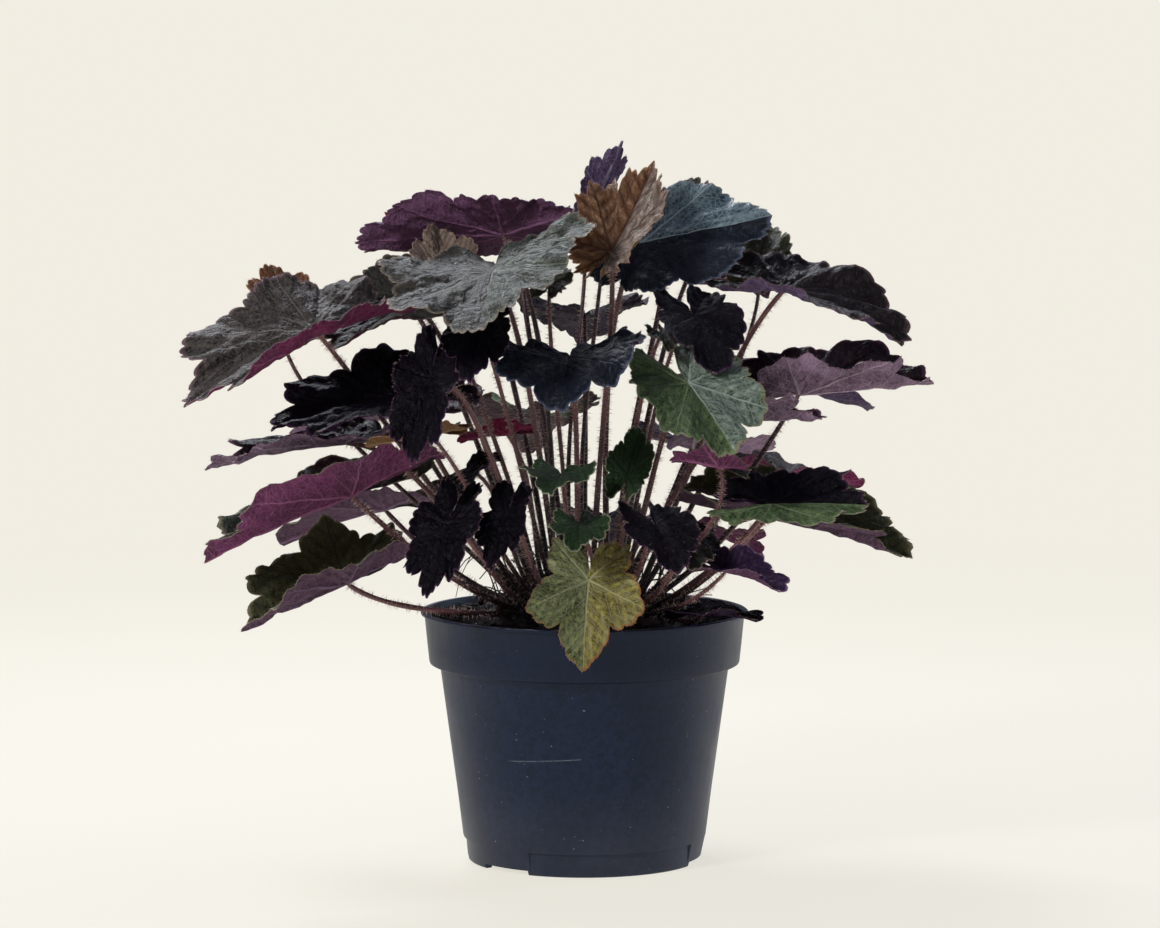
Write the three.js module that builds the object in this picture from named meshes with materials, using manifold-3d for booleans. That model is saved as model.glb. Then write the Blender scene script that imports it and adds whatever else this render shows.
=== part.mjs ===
// Heuchera with ruffled, lobed leaves in a round nursery pot.
// Millimetres, +Z up, origin at the middle of the pot's underside, the front of the plant toward -Y.
import * as THREE from 'three';
import Module from 'manifold-3d';

const wasm = await Module();
wasm.setup();
const { Manifold, Mesh } = wasm;

const RAD = Math.PI / 180;

// ---- driving dimensions -------------------------------------------------------------------------
const RIM_R = 85; // outer radius of the lip
const RIM_Z = 130; // height of the pot
const COLLAR_R = [80.4, 83]; // collar radius, bottom and top
const COLLAR_Z = 103; // height of the collar's lower edge
const BODY_R = [63, 75]; // tapered body, foot and top
const FOOT_Z = 12.9; // height of the foot
const POT_SIDES = 32;
const FLOOR_Z = [3, 4.6]; // underside and top of the floor
const GAP = 0.3; // clearance between neighbouring pieces

const CROWN_R = 54; // crown radius where it meets the soil
const CROWN_Z = 126; // height of the crown's edge
const CROWN_RISE = 14; // how far the dome stands above its edge
const CROWN_SIDES = 18;
const BASE_R = 38; // petioles start inside this radius
const BASE_Z = 130.5; // height of the petiole bases inside the crown

const BLADE_T = 0.8; // blade thickness
const COVER = 164; // the lobes reach this far round from the tip, degrees
const PETIOLE_SIDES = 5;

// ---- closed shells ------------------------------------------------------------------------------
function solid(points, triangles) {
  const mesh = new Mesh({
    numProp: 3,
    vertProperties: new Float32Array(points.flat()),
    triVerts: new Uint32Array(triangles.flat()),
  });
  return new Manifold(mesh);
}

// Rings of equal length joined in order, with a pole at each end.
function ringSolid(start, rings, end) {
  const n = rings[0].length;
  const points = [start, ...rings.flat(), end];
  const at = (i, j) => 1 + i * n + (j % n);
  const last = points.length - 1;
  const triangles = [];
  for (let j = 0; j < n; j++) {
    triangles.push([0, at(0, j + 1), at(0, j)]);
    for (let i = 0; i + 1 < rings.length; i++) {
      triangles.push([at(i, j), at(i, j + 1), at(i + 1, j + 1)]);
      triangles.push([at(i, j), at(i + 1, j + 1), at(i + 1, j)]);
    }
    triangles.push([last, at(rings.length - 1, j), at(rings.length - 1, j + 1)]);
  }
  return solid(points, triangles);
}

function ring(radius, height, sides) {
  return Array.from({ length: sides }, (_, j) => {
    const a = (2 * Math.PI * j) / sides;
    const r = typeof radius === 'function' ? radius(a) : radius;
    const z = typeof height === 'function' ? height(r, a) : height;
    return [r * Math.cos(a), r * Math.sin(a), z];
  });
}

// A prism whose top outline may differ from its bottom outline.
function prism(bottom, top, z0, z1) {
  const n = bottom.length;
  const points = [...bottom.map(([x, y]) => [x, y, z0]), ...top.map(([x, y]) => [x, y, z1])];
  const caps = THREE.ShapeUtils.triangulateShape(bottom.map(([x, y]) => new THREE.Vector2(x, y)), []);
  const triangles = [];
  for (const [a, b, c] of caps) triangles.push([a, c, b], [a + n, b + n, c + n]);
  for (let j = 0; j < n; j++) {
    const k = (j + 1) % n;
    triangles.push([j, k, k + n], [j, k + n, j + n]);
  }
  return solid(points, triangles);
}

// ---- pot ----------------------------------------------------------------------------------------
const FOOT_PANELS = 3;
const PANEL_SPAN = 88; // recessed part of the foot, degrees
const PANEL_TURN = -13; // middle of the first gap between panels, degrees from +X
const DRAIN_R = 5;

function sector(inner, outer, middle, span) {
  const steps = 6;
  const at = (r, k) => {
    const a = (middle - span / 2 + (span * k) / steps) * RAD;
    return [r * Math.cos(a), r * Math.sin(a)];
  };
  const out = [];
  for (let k = 0; k <= steps; k++) out.push(at(outer, k));
  for (let k = steps; k >= 0; k--) out.push(at(inner, k));
  return out;
}

function turned(points, degrees) {
  const c = Math.cos(degrees * RAD);
  const s = Math.sin(degrees * RAD);
  return points.map(([x, y]) => [x * c - y * s, x * s + y * c]);
}

function nurseryPot() {
  const profile = [
    [12, 0], [12, FLOOR_Z[0]], [56.5, FLOOR_Z[0]], [56.5, 0], [60.2, 0],
    [BODY_R[0], FOOT_Z], [BODY_R[1], COLLAR_Z - 2], [COLLAR_R[0], COLLAR_Z],
    [COLLAR_R[1], RIM_Z - 2], [RIM_R, RIM_Z - 1.6], [RIM_R, RIM_Z - 0.5], [RIM_R - 0.6, RIM_Z],
    [81.8, RIM_Z], [79, COLLAR_Z + 1.6], [73.6, COLLAR_Z - 0.4], [61.6, 13.5], [58.9, FLOOR_Z[1]],
  ];
  let pot = ringSolid([0, 0, 0], profile.map(([r, z]) => ring(r, z, POT_SIDES)), [0, 0, FLOOR_Z[1]]);
  for (let k = 0; k < FOOT_PANELS; k++) {
    const middle = PANEL_TURN + 60 + k * 120;
    const recess = prism(sector(60.6, 70, middle, PANEL_SPAN), sector(61.7, 70, middle, PANEL_SPAN), -1, 12.2);
    pot = pot.subtract(recess);
    const notch = (half) => turned([[50, -half], [70, -half], [70, half], [50, half]], PANEL_TURN + k * 120);
    pot = pot.subtract(prism(notch(15.5), notch(13.5), -1, 2.4));
  }
  for (let k = 0; k < 6; k++) {
    const a = (15 + k * 60) * RAD;
    const hole = ring(DRAIN_R, 0, 8).map(([x, y]) => [x + 40 * Math.cos(a), y + 40 * Math.sin(a)]);
    pot = pot.subtract(prism(hole, hole, FLOOR_Z[0] - 1, FLOOR_Z[1] + 1));
  }
  return pot;
}

// ---- soil and crown -----------------------------------------------------------------------------
function soilHeight(x, y) {
  const mound = 5 * Math.exp(-((x + 30) ** 2 + (y - 20) ** 2) / 3200);
  const lumps = 0.9 * Math.sin(0.31 * x + 1.3) * Math.cos(0.27 * y) + 0.6 * Math.sin(0.53 * y - 0.41 * x);
  return 123.6 + mound + lumps;
}

function crownHeight(r, a) {
  const lumps = Math.sin(5 * a + 0.12 * r) + 0.7 * Math.sin(8 * a - 0.2 * r);
  return CROWN_Z + CROWN_RISE * (1 - (r / CROWN_R) ** 2) + 0.9 * lumps * Math.min(1, r / 20);
}

function pottingSoil() {
  const surface = (r, a) => soilHeight(r * Math.cos(a), r * Math.sin(a));
  const rings = [
    ring(58.5, FLOOR_Z[1] + GAP, POT_SIDES), ring(61.2, 13.7, POT_SIDES),
    ring(73.2, COLLAR_Z - 0.2, POT_SIDES), ring(78.6, COLLAR_Z + 1.9, POT_SIDES),
    ring(80.7, surface, POT_SIDES), ring(74, surface, POT_SIDES), ring(66, surface, POT_SIDES),
    ring(57, surface, POT_SIDES), ring(30, surface, POT_SIDES),
  ];
  const soil = ringSolid([0, 0, FLOOR_Z[1] + GAP], rings, [0, 0, 124]);
  const profile = [[30 + GAP, 112 - GAP], [44 + GAP, 117], [CROWN_R + GAP, 122], [CROWN_R + GAP, 150]];
  const socket = profile.map(([r, z]) => ring(r, z, CROWN_SIDES));
  return soil.subtract(ringSolid([0, 0, 112 - GAP], socket, [0, 0, 150]));
}

function crown() {
  const dome = [47, 36, 20].map((r) => ring(r, crownHeight, CROWN_SIDES));
  const rings = [[30, 112], [44, 117.3], [CROWN_R, 122.3], [CROWN_R, CROWN_Z]].map(([r, z]) => ring(r, z, CROWN_SIDES));
  return ringSolid([0, 0, 112], [...rings, ...dome], [0, 0, crownHeight(0, 0)]);
}

// ---- leaves -------------------------------------------------------------------------------------
// One row a leaf. at: the junction of blade and petiole. az, el: where the midrib heads, degrees from
// +X and above the horizon. roll: the left margin (seen along the midrib) raised. size: length from the
// junction to the tip, and width. fold and curl: how the left and right halves stand up from the
// midrib and roll toward their margins, degrees. arch: droop along the midrib. wave: margin ruffle, mm.
// cut: lobe depth. lobes, teeth: outline detail. stem: petiole radius, mm.
const GREY = '#5b5a55';
const SILVER = '#6f7d74';
const PURPLE = '#5c3c56';
const BLACK = '#201d29';
const GREEN = '#4a5f3a';
const BRONZE = '#76603b';
const MAGENTA = '#8c3f6c';

function leaf(name, at, az, el, roll, size, fold, curl, arch, wave, colour, extra = {}) {
  return {
    name, at, az, el, roll, size, fold, curl, arch, wave, colour,
    lobes: 7, teeth: 3, fine: 1, cut: 0.17, point: 2.2, stem: 1.35, phase: 0, heel: 0.72, steep: 0.7, ...extra,
  };
}

const BIG = { fine: 2 };
const SMALL = { lobes: 5, stem: 1.05, cut: 0.2 };
const YOUNG = { fine: 2, heel: 0.42 };
const HEEL = { heel: 0.5 };
const BACK = { lobes: 5, cut: 0.19 };
const LEVEL = { steep: 0.15 };
const STAR = { lobes: 5, cut: 0.33, point: 1.5, heel: 0.62 };

const LEAVES = [
  // front, top to bottom
  leaf('leaf_silver_front', [-46, -70, 310], -95, -13, 20, [74, 134], [8, 14], [0, 18], 14, 3.5, SILVER, BIG),
  leaf('leaf_grey_far_left', [-136, -54, 279], 216, -17, -27, [82, 98], [20, 4], [66, 10], 20, 3.5, GREY, BIG),
  leaf('leaf_grey_left', [-88, -2, 291], 200, -11, -24, [70, 84], [0, 6], [40, 8], 16, 3, GREY, BIG),
  leaf('leaf_purple_top', [-42, 4, 325], 162, -2, 34, [80, 78], [4, 8], [8, 6], 6, 3.5, PURPLE, BIG),
  leaf('leaf_bronze_top', [12, -58, 322], 52, 46, 6, [56, 80], [24, 22], [14, 10], -10, 3, BRONZE, YOUNG),
  leaf('leaf_slate_right', [29, -30, 322], -3, 13, 52, [66, 84], [-6, -4], [8, 8], 6, 3, BLACK, HEEL),
  leaf('leaf_dark_right', [102, -25, 298], -18, -10, 18, [70, 64], [18, 12], [10, 30], 24, 3.5, BLACK),
  leaf('leaf_green_facing', [52, -76, 254], -56, -34, 14, [50, 76], [8, 4], [8, 8], 14, 3, GREEN, BIG),
  leaf('leaf_folded_right', [110, -20, 243], -4, 5, 6, [70, 68], [48, 40], [4, 10], 0, 3, PURPLE),
  leaf('leaf_dark_left', [-97, -50, 247], 199, -8, -20, [68, 70], [6, 20], [6, 12], 12, 3, BLACK),
  leaf('leaf_magenta_left', [-116, -56, 194], 207, -16, -10, [86, 66], [60, 14], [12, 10], 10, 3, MAGENTA),
  leaf('leaf_olive_low_left', [-107, -50, 156], 206, -18, -6, [60, 74], [36, 58], [10, 10], 8, 3, PURPLE),
  leaf('leaf_olive_right', [96, -20, 183], -8, -11, 6, [76, 72], [44, 22], [8, 14], 8, 3, PURPLE),
  leaf('leaf_magenta_right', [68, -66, 211], 176, 14, 4, [26, 28], [44, 10], [14, 8], 14, 2, MAGENTA, SMALL),
  leaf('leaf_black_green_right', [90, -58, 191], -13, 3, 38, [50, 52], [8, 12], [8, 10], 6, 3, GREEN),
  leaf('leaf_star', [2, -80, 155], -97, -50, 2, [50, 74], [4, 6], [4, 4], 16, 2, BRONZE, STAR),
  leaf('leaf_blue_black', [-6, -58, 270], -96, -12, 4, [44, 96], [10, 10], [12, 12], 40, 3.5, BLACK),
  leaf('leaf_hanging_left', [-77, -80, 257], -112, -56, 0, [48, 44], [14, 14], [8, 8], 10, 2, BLACK),
  leaf('leaf_hanging_mid', [-51, -64, 268], -100, -36, 0, [36, 44], [12, 12], [8, 8], 16, 2.5, BLACK, SMALL),
  leaf('leaf_lobed_far_left', [-120, -60, 221], 190, -4, -4, [72, 52], [18, 16], [10, 12], 12, 3, GREY, LEVEL),
  leaf('leaf_brown_curled', [-86, -66, 233], 196, -6, 6, [34, 28], [20, 12], [12, 10], 6, 2, BRONZE, SMALL),
  leaf('leaf_hanging_low', [-67, -74, 181], -116, -50, 0, [42, 46], [8, 8], [10, 10], 12, 2, BLACK),
  leaf('leaf_green_mid', [-12, -70, 207], -98, -4, 6, [34, 48], [8, 20], [8, 14], 14, 2.5, GREEN, SMALL),
  leaf('leaf_green_low', [-3, -74, 185], -90, -12, 0, [30, 38], [6, 6], [8, 8], 16, 2.5, GREEN, SMALL),
  leaf('leaf_green_up', [22, -56, 206], 72, 46, 4, [30, 30], [14, 12], [8, 8], -6, 2, GREEN, SMALL),
  leaf('leaf_black_mid', [28, -76, 190], -70, -24, 4, [38, 46], [10, 10], [8, 8], 16, 2.5, BLACK, SMALL),
  leaf('leaf_purple_arched', [37, -68, 180], -70, 4, 0, [26, 34], [-8, -8], [-8, -8], 46, 2, MAGENTA, SMALL),
  leaf('leaf_dark_mid_left', [-35, -61, 199], -111, -46, 0, [34, 33], [10, 10], [8, 8], 10, 2.5, BLACK, SMALL),
  leaf('leaf_violet_right', [72, -68, 162], -24, -8, 0, [34, 38], [34, 12], [12, 8], 14, 2.5, PURPLE, SMALL),
  leaf('leaf_brown_inner_right', [56, -24, 170], -40, -34, 0, [28, 28], [10, 10], [8, 8], 12, 2, BRONZE, SMALL),
  leaf('leaf_purple_right', [71, -34, 231], -9, 6, 2, [52, 50], [12, 44], [8, 10], 8, 2.5, PURPLE),
  leaf('leaf_dark_rim_right', [60, -46, 145], -18, 2, 0, [32, 36], [8, 8], [8, 8], 10, 2, BLACK, SMALL),
  leaf('leaf_red_strip', [-40, -24, 224], 180, -5, 0, [26, 26], [40, 12], [10, 8], 8, 2, MAGENTA, SMALL),
  leaf('leaf_dark_inner_left', [-61, -37, 206], 220, -32, 0, [27, 28], [10, 10], [8, 8], 10, 2, BLACK, SMALL),
  leaf('leaf_inner', [52, -52, 286], -66, -36, 0, [40, 56], [10, 10], [8, 8], 16, 2.5, BLACK, SMALL),
  leaf('leaf_olive_tiny', [40, -60, 288], -70, -18, 0, [18, 20], [6, 6], [8, 8], 12, 1.5, GREEN, SMALL),
  leaf('leaf_green_tiny', [-18, -30, 300], 82, 26, 0, [22, 28], [8, 8], [8, 8], 0, 1.5, GREEN, SMALL),
  leaf('leaf_tan_young', [-62, -24, 320], 112, 58, 0, [27, 46], [14, 14], [8, 8], -4, 2.5, BRONZE, SMALL),
  leaf('leaf_pink_left', [-66, 42, 314], 166, 8, 4, [44, 48], [22, 10], [8, 8], 6, 2.5, PURPLE),
  leaf('leaf_bronze_far_left', [-157, 6, 287], 112, 58, 0, [26, 46], [12, 12], [10, 8], 6, 2.5, BRONZE, SMALL),
  leaf('leaf_violet_crest', [8, 16, 346], -58, 52, 0, [34, 30], [14, 14], [8, 8], 0, 1.5, PURPLE, SMALL),
  leaf('leaf_grey_crest', [2, 30, 331], 158, 16, 0, [26, 34], [12, 12], [8, 8], 8, 2, GREY, SMALL),
  leaf('leaf_green_crest', [44, -2, 331], 62, 34, 0, [40, 40], [10, 10], [8, 8], 4, 2.5, GREEN),
  leaf('leaf_brown_right', [90, 6, 308], 70, 52, 0, [28, 44], [12, 12], [8, 8], 8, 2, BRONZE, SMALL),
  // back
  leaf('leaf_back_top', [-34, 66, 322], 84, -6, 0, [60, 80], [10, 10], [10, 10], 14, 3, GREY, BACK),
  leaf('leaf_back_high_left', [-90, 58, 282], 146, -6, 0, [72, 84], [14, 14], [10, 10], 14, 3, GREY, BACK),
  leaf('leaf_back_high_right', [55, 62, 300], 56, -4, 0, [70, 84], [12, 12], [10, 10], 14, 3, GREEN, BACK),
  leaf('leaf_back_mid', [0, 90, 278], 92, -8, 0, [74, 88], [12, 12], [10, 10], 16, 3, BLACK, BACK),
  leaf('leaf_back_left', [-96, 72, 226], 146, -10, 0, [74, 84], [18, 18], [10, 10], 16, 3, PURPLE, BACK),
  leaf('leaf_back_right', [92, 58, 242], 26, -6, 0, [70, 84], [14, 14], [10, 10], 14, 3, BLACK, BACK),
  leaf('leaf_back_low', [-22, 100, 222], 100, -12, 0, [72, 84], [14, 14], [10, 10], 16, 3, GREEN, BACK),
  leaf('leaf_back_low_right', [58, 92, 206], 56, -12, 0, [66, 78], [14, 14], [10, 10], 16, 3, PURPLE, BACK),
  leaf('leaf_back_far_right', [100, 52, 198], 24, -12, 0, [64, 70], [16, 16], [10, 10], 14, 3, GREY, BACK),
  leaf('leaf_back_side_left', [-104, 46, 178], 158, -12, 0, [64, 70], [18, 18], [10, 10], 14, 3, GREEN, BACK),
  leaf('leaf_back_rim', [10, 92, 166], 86, -18, 0, [54, 64], [10, 10], [10, 10], 16, 3, BLACK, BACK),
  leaf('leaf_back_rim_right', [60, 64, 160], 46, -14, 0, [44, 52], [12, 12], [8, 8], 14, 2.5, GREY, SMALL),
];

const add = (a, b, k = 1) => [a[0] + k * b[0], a[1] + k * b[1], a[2] + k * b[2]];
const dot = (a, b) => a[0] * b[0] + a[1] * b[1] + a[2] * b[2];
const cross = (a, b) => [a[1] * b[2] - a[2] * b[1], a[2] * b[0] - a[0] * b[2], a[0] * b[1] - a[1] * b[0]];
const unit = (a) => {
  const n = Math.sqrt(dot(a, a));
  return [a[0] / n, a[1] / n, a[2] / n];
};

// Midrib direction, left margin direction and upper side of a leaf.
function leafAxes(row) {
  const az = row.az * RAD;
  const el = row.el * RAD;
  const roll = row.roll * RAD;
  const m = [Math.cos(el) * Math.cos(az), Math.cos(el) * Math.sin(az), Math.sin(el)];
  const s0 = [-Math.sin(az), Math.cos(az), 0];
  const n0 = cross(m, s0);
  const s = add([s0[0] * Math.cos(roll), s0[1] * Math.cos(roll), s0[2] * Math.cos(roll)], n0, Math.sin(roll));
  const n = add([n0[0] * Math.cos(roll), n0[1] * Math.cos(roll), n0[2] * Math.cos(roll)], s0, -Math.sin(roll));
  return { m, s, n };
}

// Outline radius at an angle from the tip, as a share of the leaf's length or half width.
function outline(row, phi) {
  const a = Math.abs(phi) / RAD;
  const envelope = (1 + row.heel + (1 - row.heel) * Math.cos(phi)) / 2;
  if (a > COVER) {
    const edge = envelope * (1 - row.cut);
    return edge + ((a - COVER) / (180 - COVER)) * (0.1 - edge);
  }
  const span = (2 * COVER) / row.lobes;
  const k = Math.min(row.lobes - 1, Math.floor((phi / RAD + COVER) / span));
  const t = (2 * (phi / RAD + COVER - k * span)) / span - 1;
  const tooth = 0.035 * Math.abs(Math.sin((row.teeth * Math.PI * (t + 1)) / 2));
  return envelope * (1 - row.cut * Math.abs(t) ** row.point) + tooth - 0.03;
}

// A point of the blade's middle surface, at an angle and a share of the way to the margin.
function bladePoint(row, axes, phi, rho) {
  const half = row.size[1] / 2;
  const r = outline(row, phi) * rho;
  const u = r * Math.cos(phi) * row.size[0];
  const v = r * Math.sin(phi) * half;
  const side = v < 0 ? -1 : 1;
  const which = v < 0 ? 1 : 0;
  const a = Math.abs(v);
  const f = row.fold[which] * RAD;
  const k = (row.curl[which] * RAD) / half;
  const ka = k * a;
  const y = Math.abs(ka) < 1e-6 ? a * Math.cos(f) : (Math.sin(f + ka) - Math.sin(f)) / k;
  const lift = Math.abs(ka) < 1e-6 ? a * Math.sin(f) : (Math.cos(f) - Math.cos(f + ka)) / k;
  const h = lift + row.wave * rho * rho * Math.sin(row.lobes * phi + row.phase + 0.6 * Math.sin(2 * phi));
  const bend = (row.arch * RAD) / row.size[0];
  const ku = bend * u;
  const px = Math.abs(ku) < 1e-6 ? u : Math.sin(ku) / bend;
  const pz = Math.abs(ku) < 1e-6 ? 0 : -(1 - Math.cos(ku)) / bend;
  const x = px + h * Math.sin(ku);
  const z = pz + h * Math.cos(ku);
  return add(add(add(row.at, axes.m, x), axes.s, side * y), axes.n, z);
}

function bladeAngles(row) {
  const shares = row.fine === 2 ? [-1, -0.67, -0.33, 0, 0.33, 0.67] : [-1, -0.5, 0, 0.5];
  const span = (2 * COVER) / row.lobes;
  const out = [-180];
  for (let k = 0; k < row.lobes; k++) {
    for (const t of shares) out.push(-COVER + span * (k + (t + 1) / 2));
  }
  out.push(COVER);
  return out.map((a) => a * RAD);
}

function bladeSolid(row) {
  const axes = leafAxes(row);
  const angles = bladeAngles(row);
  const n = angles.length;
  const half = n / 2;
  const middle = [row.at];
  for (const phi of angles) middle.push(bladePoint(row, axes, phi, 1));
  for (let k = 0; k < half; k++) middle.push(bladePoint(row, axes, angles[2 * k], 0.55));
  const out = (i) => 1 + (i % n);
  const mid = (k) => 1 + n + (k % half);
  const face = [];
  for (let k = 0; k < half; k++) {
    face.push([mid(k), out(2 * k), out(2 * k + 1)]);
    face.push([mid(k), out(2 * k + 1), mid(k + 1)]);
    face.push([mid(k + 1), out(2 * k + 1), out(2 * k + 2)]);
    face.push([0, mid(k), mid(k + 1)]);
  }
  const normals = middle.map(() => [0, 0, 0]);
  for (const [a, b, c] of face) {
    const w = cross(add(middle[b], middle[a], -1), add(middle[c], middle[a], -1));
    for (const i of [a, b, c]) normals[i] = add(normals[i], w);
  }
  const upper = middle.map((p, i) => add(p, unit(normals[i]), BLADE_T / 2));
  const lower = middle.map((p, i) => add(p, unit(normals[i]), -BLADE_T / 2));
  const count = middle.length;
  const triangles = [];
  for (const [a, b, c] of face) triangles.push([a, b, c], [a + count, c + count, b + count]);
  for (let i = 0; i < n; i++) {
    const a = out(i);
    const b = out(i + 1);
    triangles.push([a, a + count, b + count], [a, b + count, b]);
  }
  return solid([...upper, ...lower], triangles);
}

// ---- petioles -----------------------------------------------------------------------------------
function petioleCurve(row, swing, draw, bendSide, bendUp, steeper) {
  const axes = leafAxes(row);
  const reach = Math.hypot(row.at[0], row.at[1]);
  const end = add(row.at, axes.n, -0.35);
  const rise = row.at[2] - BASE_Z;
  const line = Math.atan2(rise, reach) / RAD;
  const az = Math.atan2(row.at[1], row.at[0]) + swing * RAD;
  const r = BASE_R * Math.cos(line * RAD) ** 0.7 + draw;
  const base = [r * Math.cos(az), r * Math.sin(az), BASE_Z];
  const start = Math.max(3, line + (20 * (line - 40)) / 50) * RAD;
  const way = Math.atan2(row.at[1] - base[1], row.at[0] - base[0]);
  const out = Math.cos(start);
  const direction = [out * Math.cos(way), out * Math.sin(way), Math.sin(start)];
  const span = add(row.at, base, -1);
  const length = Math.sqrt(dot(span, span));
  const arrive = unit([0, 1, 2].map((i) => (row.steep + steeper) * axes.n[i] + 0.5 * axes.m[i]));
  const side = [-Math.sin(way), Math.cos(way), 0];
  const bend = add([side[0] * bendSide, side[1] * bendSide, 0], [0, 0, 1], bendUp);
  const first = add(add(base, direction, 0.42 * length), bend);
  const second = add(add(end, arrive, -0.26 * length), bend);
  return [base, first, second, end];
}

function curvePoint([a, b, c, d], t) {
  const s = 1 - t;
  return [0, 1, 2].map(
    (i) => s * s * s * a[i] + 3 * s * s * t * b[i] + 3 * s * t * t * c[i] + t * t * t * d[i],
  );
}

function tube(path, radii) {
  const n = PETIOLE_SIDES;
  const rings = [];
  let normal = null;
  for (let i = 0; i < path.length; i++) {
    const before = path[Math.max(0, i - 1)];
    const after = path[Math.min(path.length - 1, i + 1)];
    const tangent = unit(add(after, before, -1));
    if (!normal) normal = Math.abs(tangent[2]) < 0.9 ? [0, 0, 1] : [1, 0, 0];
    normal = unit(add(normal, tangent, -dot(normal, tangent)));
    const binormal = cross(tangent, normal);
    rings.push(Array.from({ length: n }, (_, j) => {
      const a = (2 * Math.PI * j) / n;
      return add(add(path[i], normal, radii[i] * Math.cos(a)), binormal, radii[i] * Math.sin(a));
    }));
  }
  return ringSolid(path[0], rings, path[path.length - 1]);
}

const STEM_STEPS = [0, 0.22, 0.44, 0.66, 0.85, 1];
const SHORT_STEPS = [0, 0.24, 0.54, 0.82, 1];

const stemRadius = (row, t) => row.stem * (1.25 - 0.35 * t);

function petioleTube(row) {
  const steps = row.size[0] < 45 ? SHORT_STEPS : STEM_STEPS;
  return tube(steps.map((t) => curvePoint(row.curve, t)), steps.map((t) => stemRadius(row, t)));
}

// The hole a petiole stands in, wider and deeper by the clearance.
function petioleHole(row) {
  const steps = (row.size[0] < 45 ? SHORT_STEPS : STEM_STEPS).slice(0, 3);
  const path = steps.map((t) => curvePoint(row.curve, t));
  path[0] = add(path[0], unit(add(path[1], path[0], -1)), -GAP);
  return tube(path, steps.map((t) => stemRadius(row, t) + GAP));
}

// ---- keeping the leaves apart -------------------------------------------------------------------
// Each leaf is tried as listed, then a little off, until its blade and petiole clear those before it.
const CELL = 5;
const BLADE_ROOM = 1.2;
const STEM_ROOM = 0.35; // beyond the petiole's radius
const SAMPLE = 3.6;

const taken = new Map();
const cellKey = (x, y, z) => `${x},${y},${z}`;

function occupy(points, room) {
  for (const p of points) {
    const key = cellKey(Math.floor(p[0] / CELL), Math.floor(p[1] / CELL), Math.floor(p[2] / CELL));
    if (!taken.has(key)) taken.set(key, []);
    taken.get(key).push([p, room]);
  }
}

// Smallest spare distance from points to everything already placed, at most 3 mm; stops at the floor.
function spare(points, room, floor) {
  let least = 3;
  for (const p of points) {
    if (least <= floor) return least;
    const [cx, cy, cz] = [Math.floor(p[0] / CELL), Math.floor(p[1] / CELL), Math.floor(p[2] / CELL)];
    for (let x = cx - 1; x <= cx + 1; x++) {
      for (let y = cy - 1; y <= cy + 1; y++) {
        for (let z = cz - 1; z <= cz + 1; z++) {
          for (const [q, other] of taken.get(cellKey(x, y, z)) ?? []) {
            const w = add(p, q, -1);
            least = Math.min(least, Math.sqrt(dot(w, w)) - room - other);
          }
        }
      }
    }
  }
  return least;
}

// Spare height above the pot, the soil and the crown.
function aboveGround(points, room) {
  let least = 3;
  for (const p of points) {
    const r = Math.hypot(p[0], p[1]);
    if (r > RIM_R + room + 1) continue;
    const crownTop = CROWN_Z + CROWN_RISE * (1 - (r / CROWN_R) ** 2) + 1.5;
    const ground = r > 79 ? RIM_Z : r > CROWN_R ? soilHeight(p[0], p[1]) : crownTop;
    least = Math.min(least, p[2] - ground - room);
  }
  return least;
}

function bladeSamples(row) {
  const axes = leafAxes(row);
  const rings = Math.ceil(row.size[0] / SAMPLE);
  const points = [row.at];
  for (let k = 1; k <= rings; k++) {
    const rho = k / rings;
    const mean = 0.45 * (row.size[0] + row.size[1] / 2);
    const count = Math.max(6, Math.ceil((2 * Math.PI * rho * mean) / SAMPLE));
    for (let j = 0; j < count; j++) points.push(bladePoint(row, axes, ((2 * j) / count - 1) * Math.PI, rho));
  }
  return points;
}

function stemSamples(curve) {
  const span = add(curve[3], curve[0], -1);
  const count = Math.ceil(Math.sqrt(dot(span, span)) / 1.8);
  return Array.from({ length: count }, (_, i) => curvePoint(curve, i / count));
}

// Trials in order: the listed place, then shifts of growing length along the upper side, the midrib
// and the left margin, mm.
const DIRECTIONS = [
  [1, 0, 0], [-1, 0, 0], [0, 1, 0], [0, -1, 0], [0, 0, 1], [0, 0, -1],
  [0.58, 0.58, 0.58], [0.58, 0.58, -0.58], [0.58, -0.58, 0.58], [0.58, -0.58, -0.58],
  [-0.58, 0.58, 0.58], [-0.58, 0.58, -0.58], [-0.58, -0.58, 0.58], [-0.58, -0.58, -0.58],
];
const SHIFTS = [[0, 0, 0]];
for (const reach of [3.5, 7, 11, 16]) {
  for (const d of DIRECTIONS) SHIFTS.push(d.map((v) => v * reach));
}
// Petiole trials: sideways and upward bend, mm, change of steepness at the blade.
const BENDS = [
  [0, 0, 0], [7, 0, 0], [-7, 0, 0], [0, 7, 0], [0, -7, 0], [0, 0, -0.4], [13, 0, 0], [-13, 0, 0],
  [9, 8, 0], [-9, 8, 0], [9, -8, -0.4], [-9, -8, -0.4], [20, 0, 0], [-20, 0, 0], [16, 0, -0.5],
  [-16, 0, -0.5], [28, 4, 0], [-28, 4, 0],
];
// Base trials: swing round the crown, degrees, and shift outward, mm.
const BASES = [
  [0, 0], [9, 0], [-9, 0], [0, -8], [16, -4], [-16, -4], [8, -14], [-8, -14], [24, -8], [-24, -8],
  [38, -12], [-38, -12], [0, -20], [30, -20], [-30, -20], [0, 5], [12, 5], [-12, 5],
];

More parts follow.
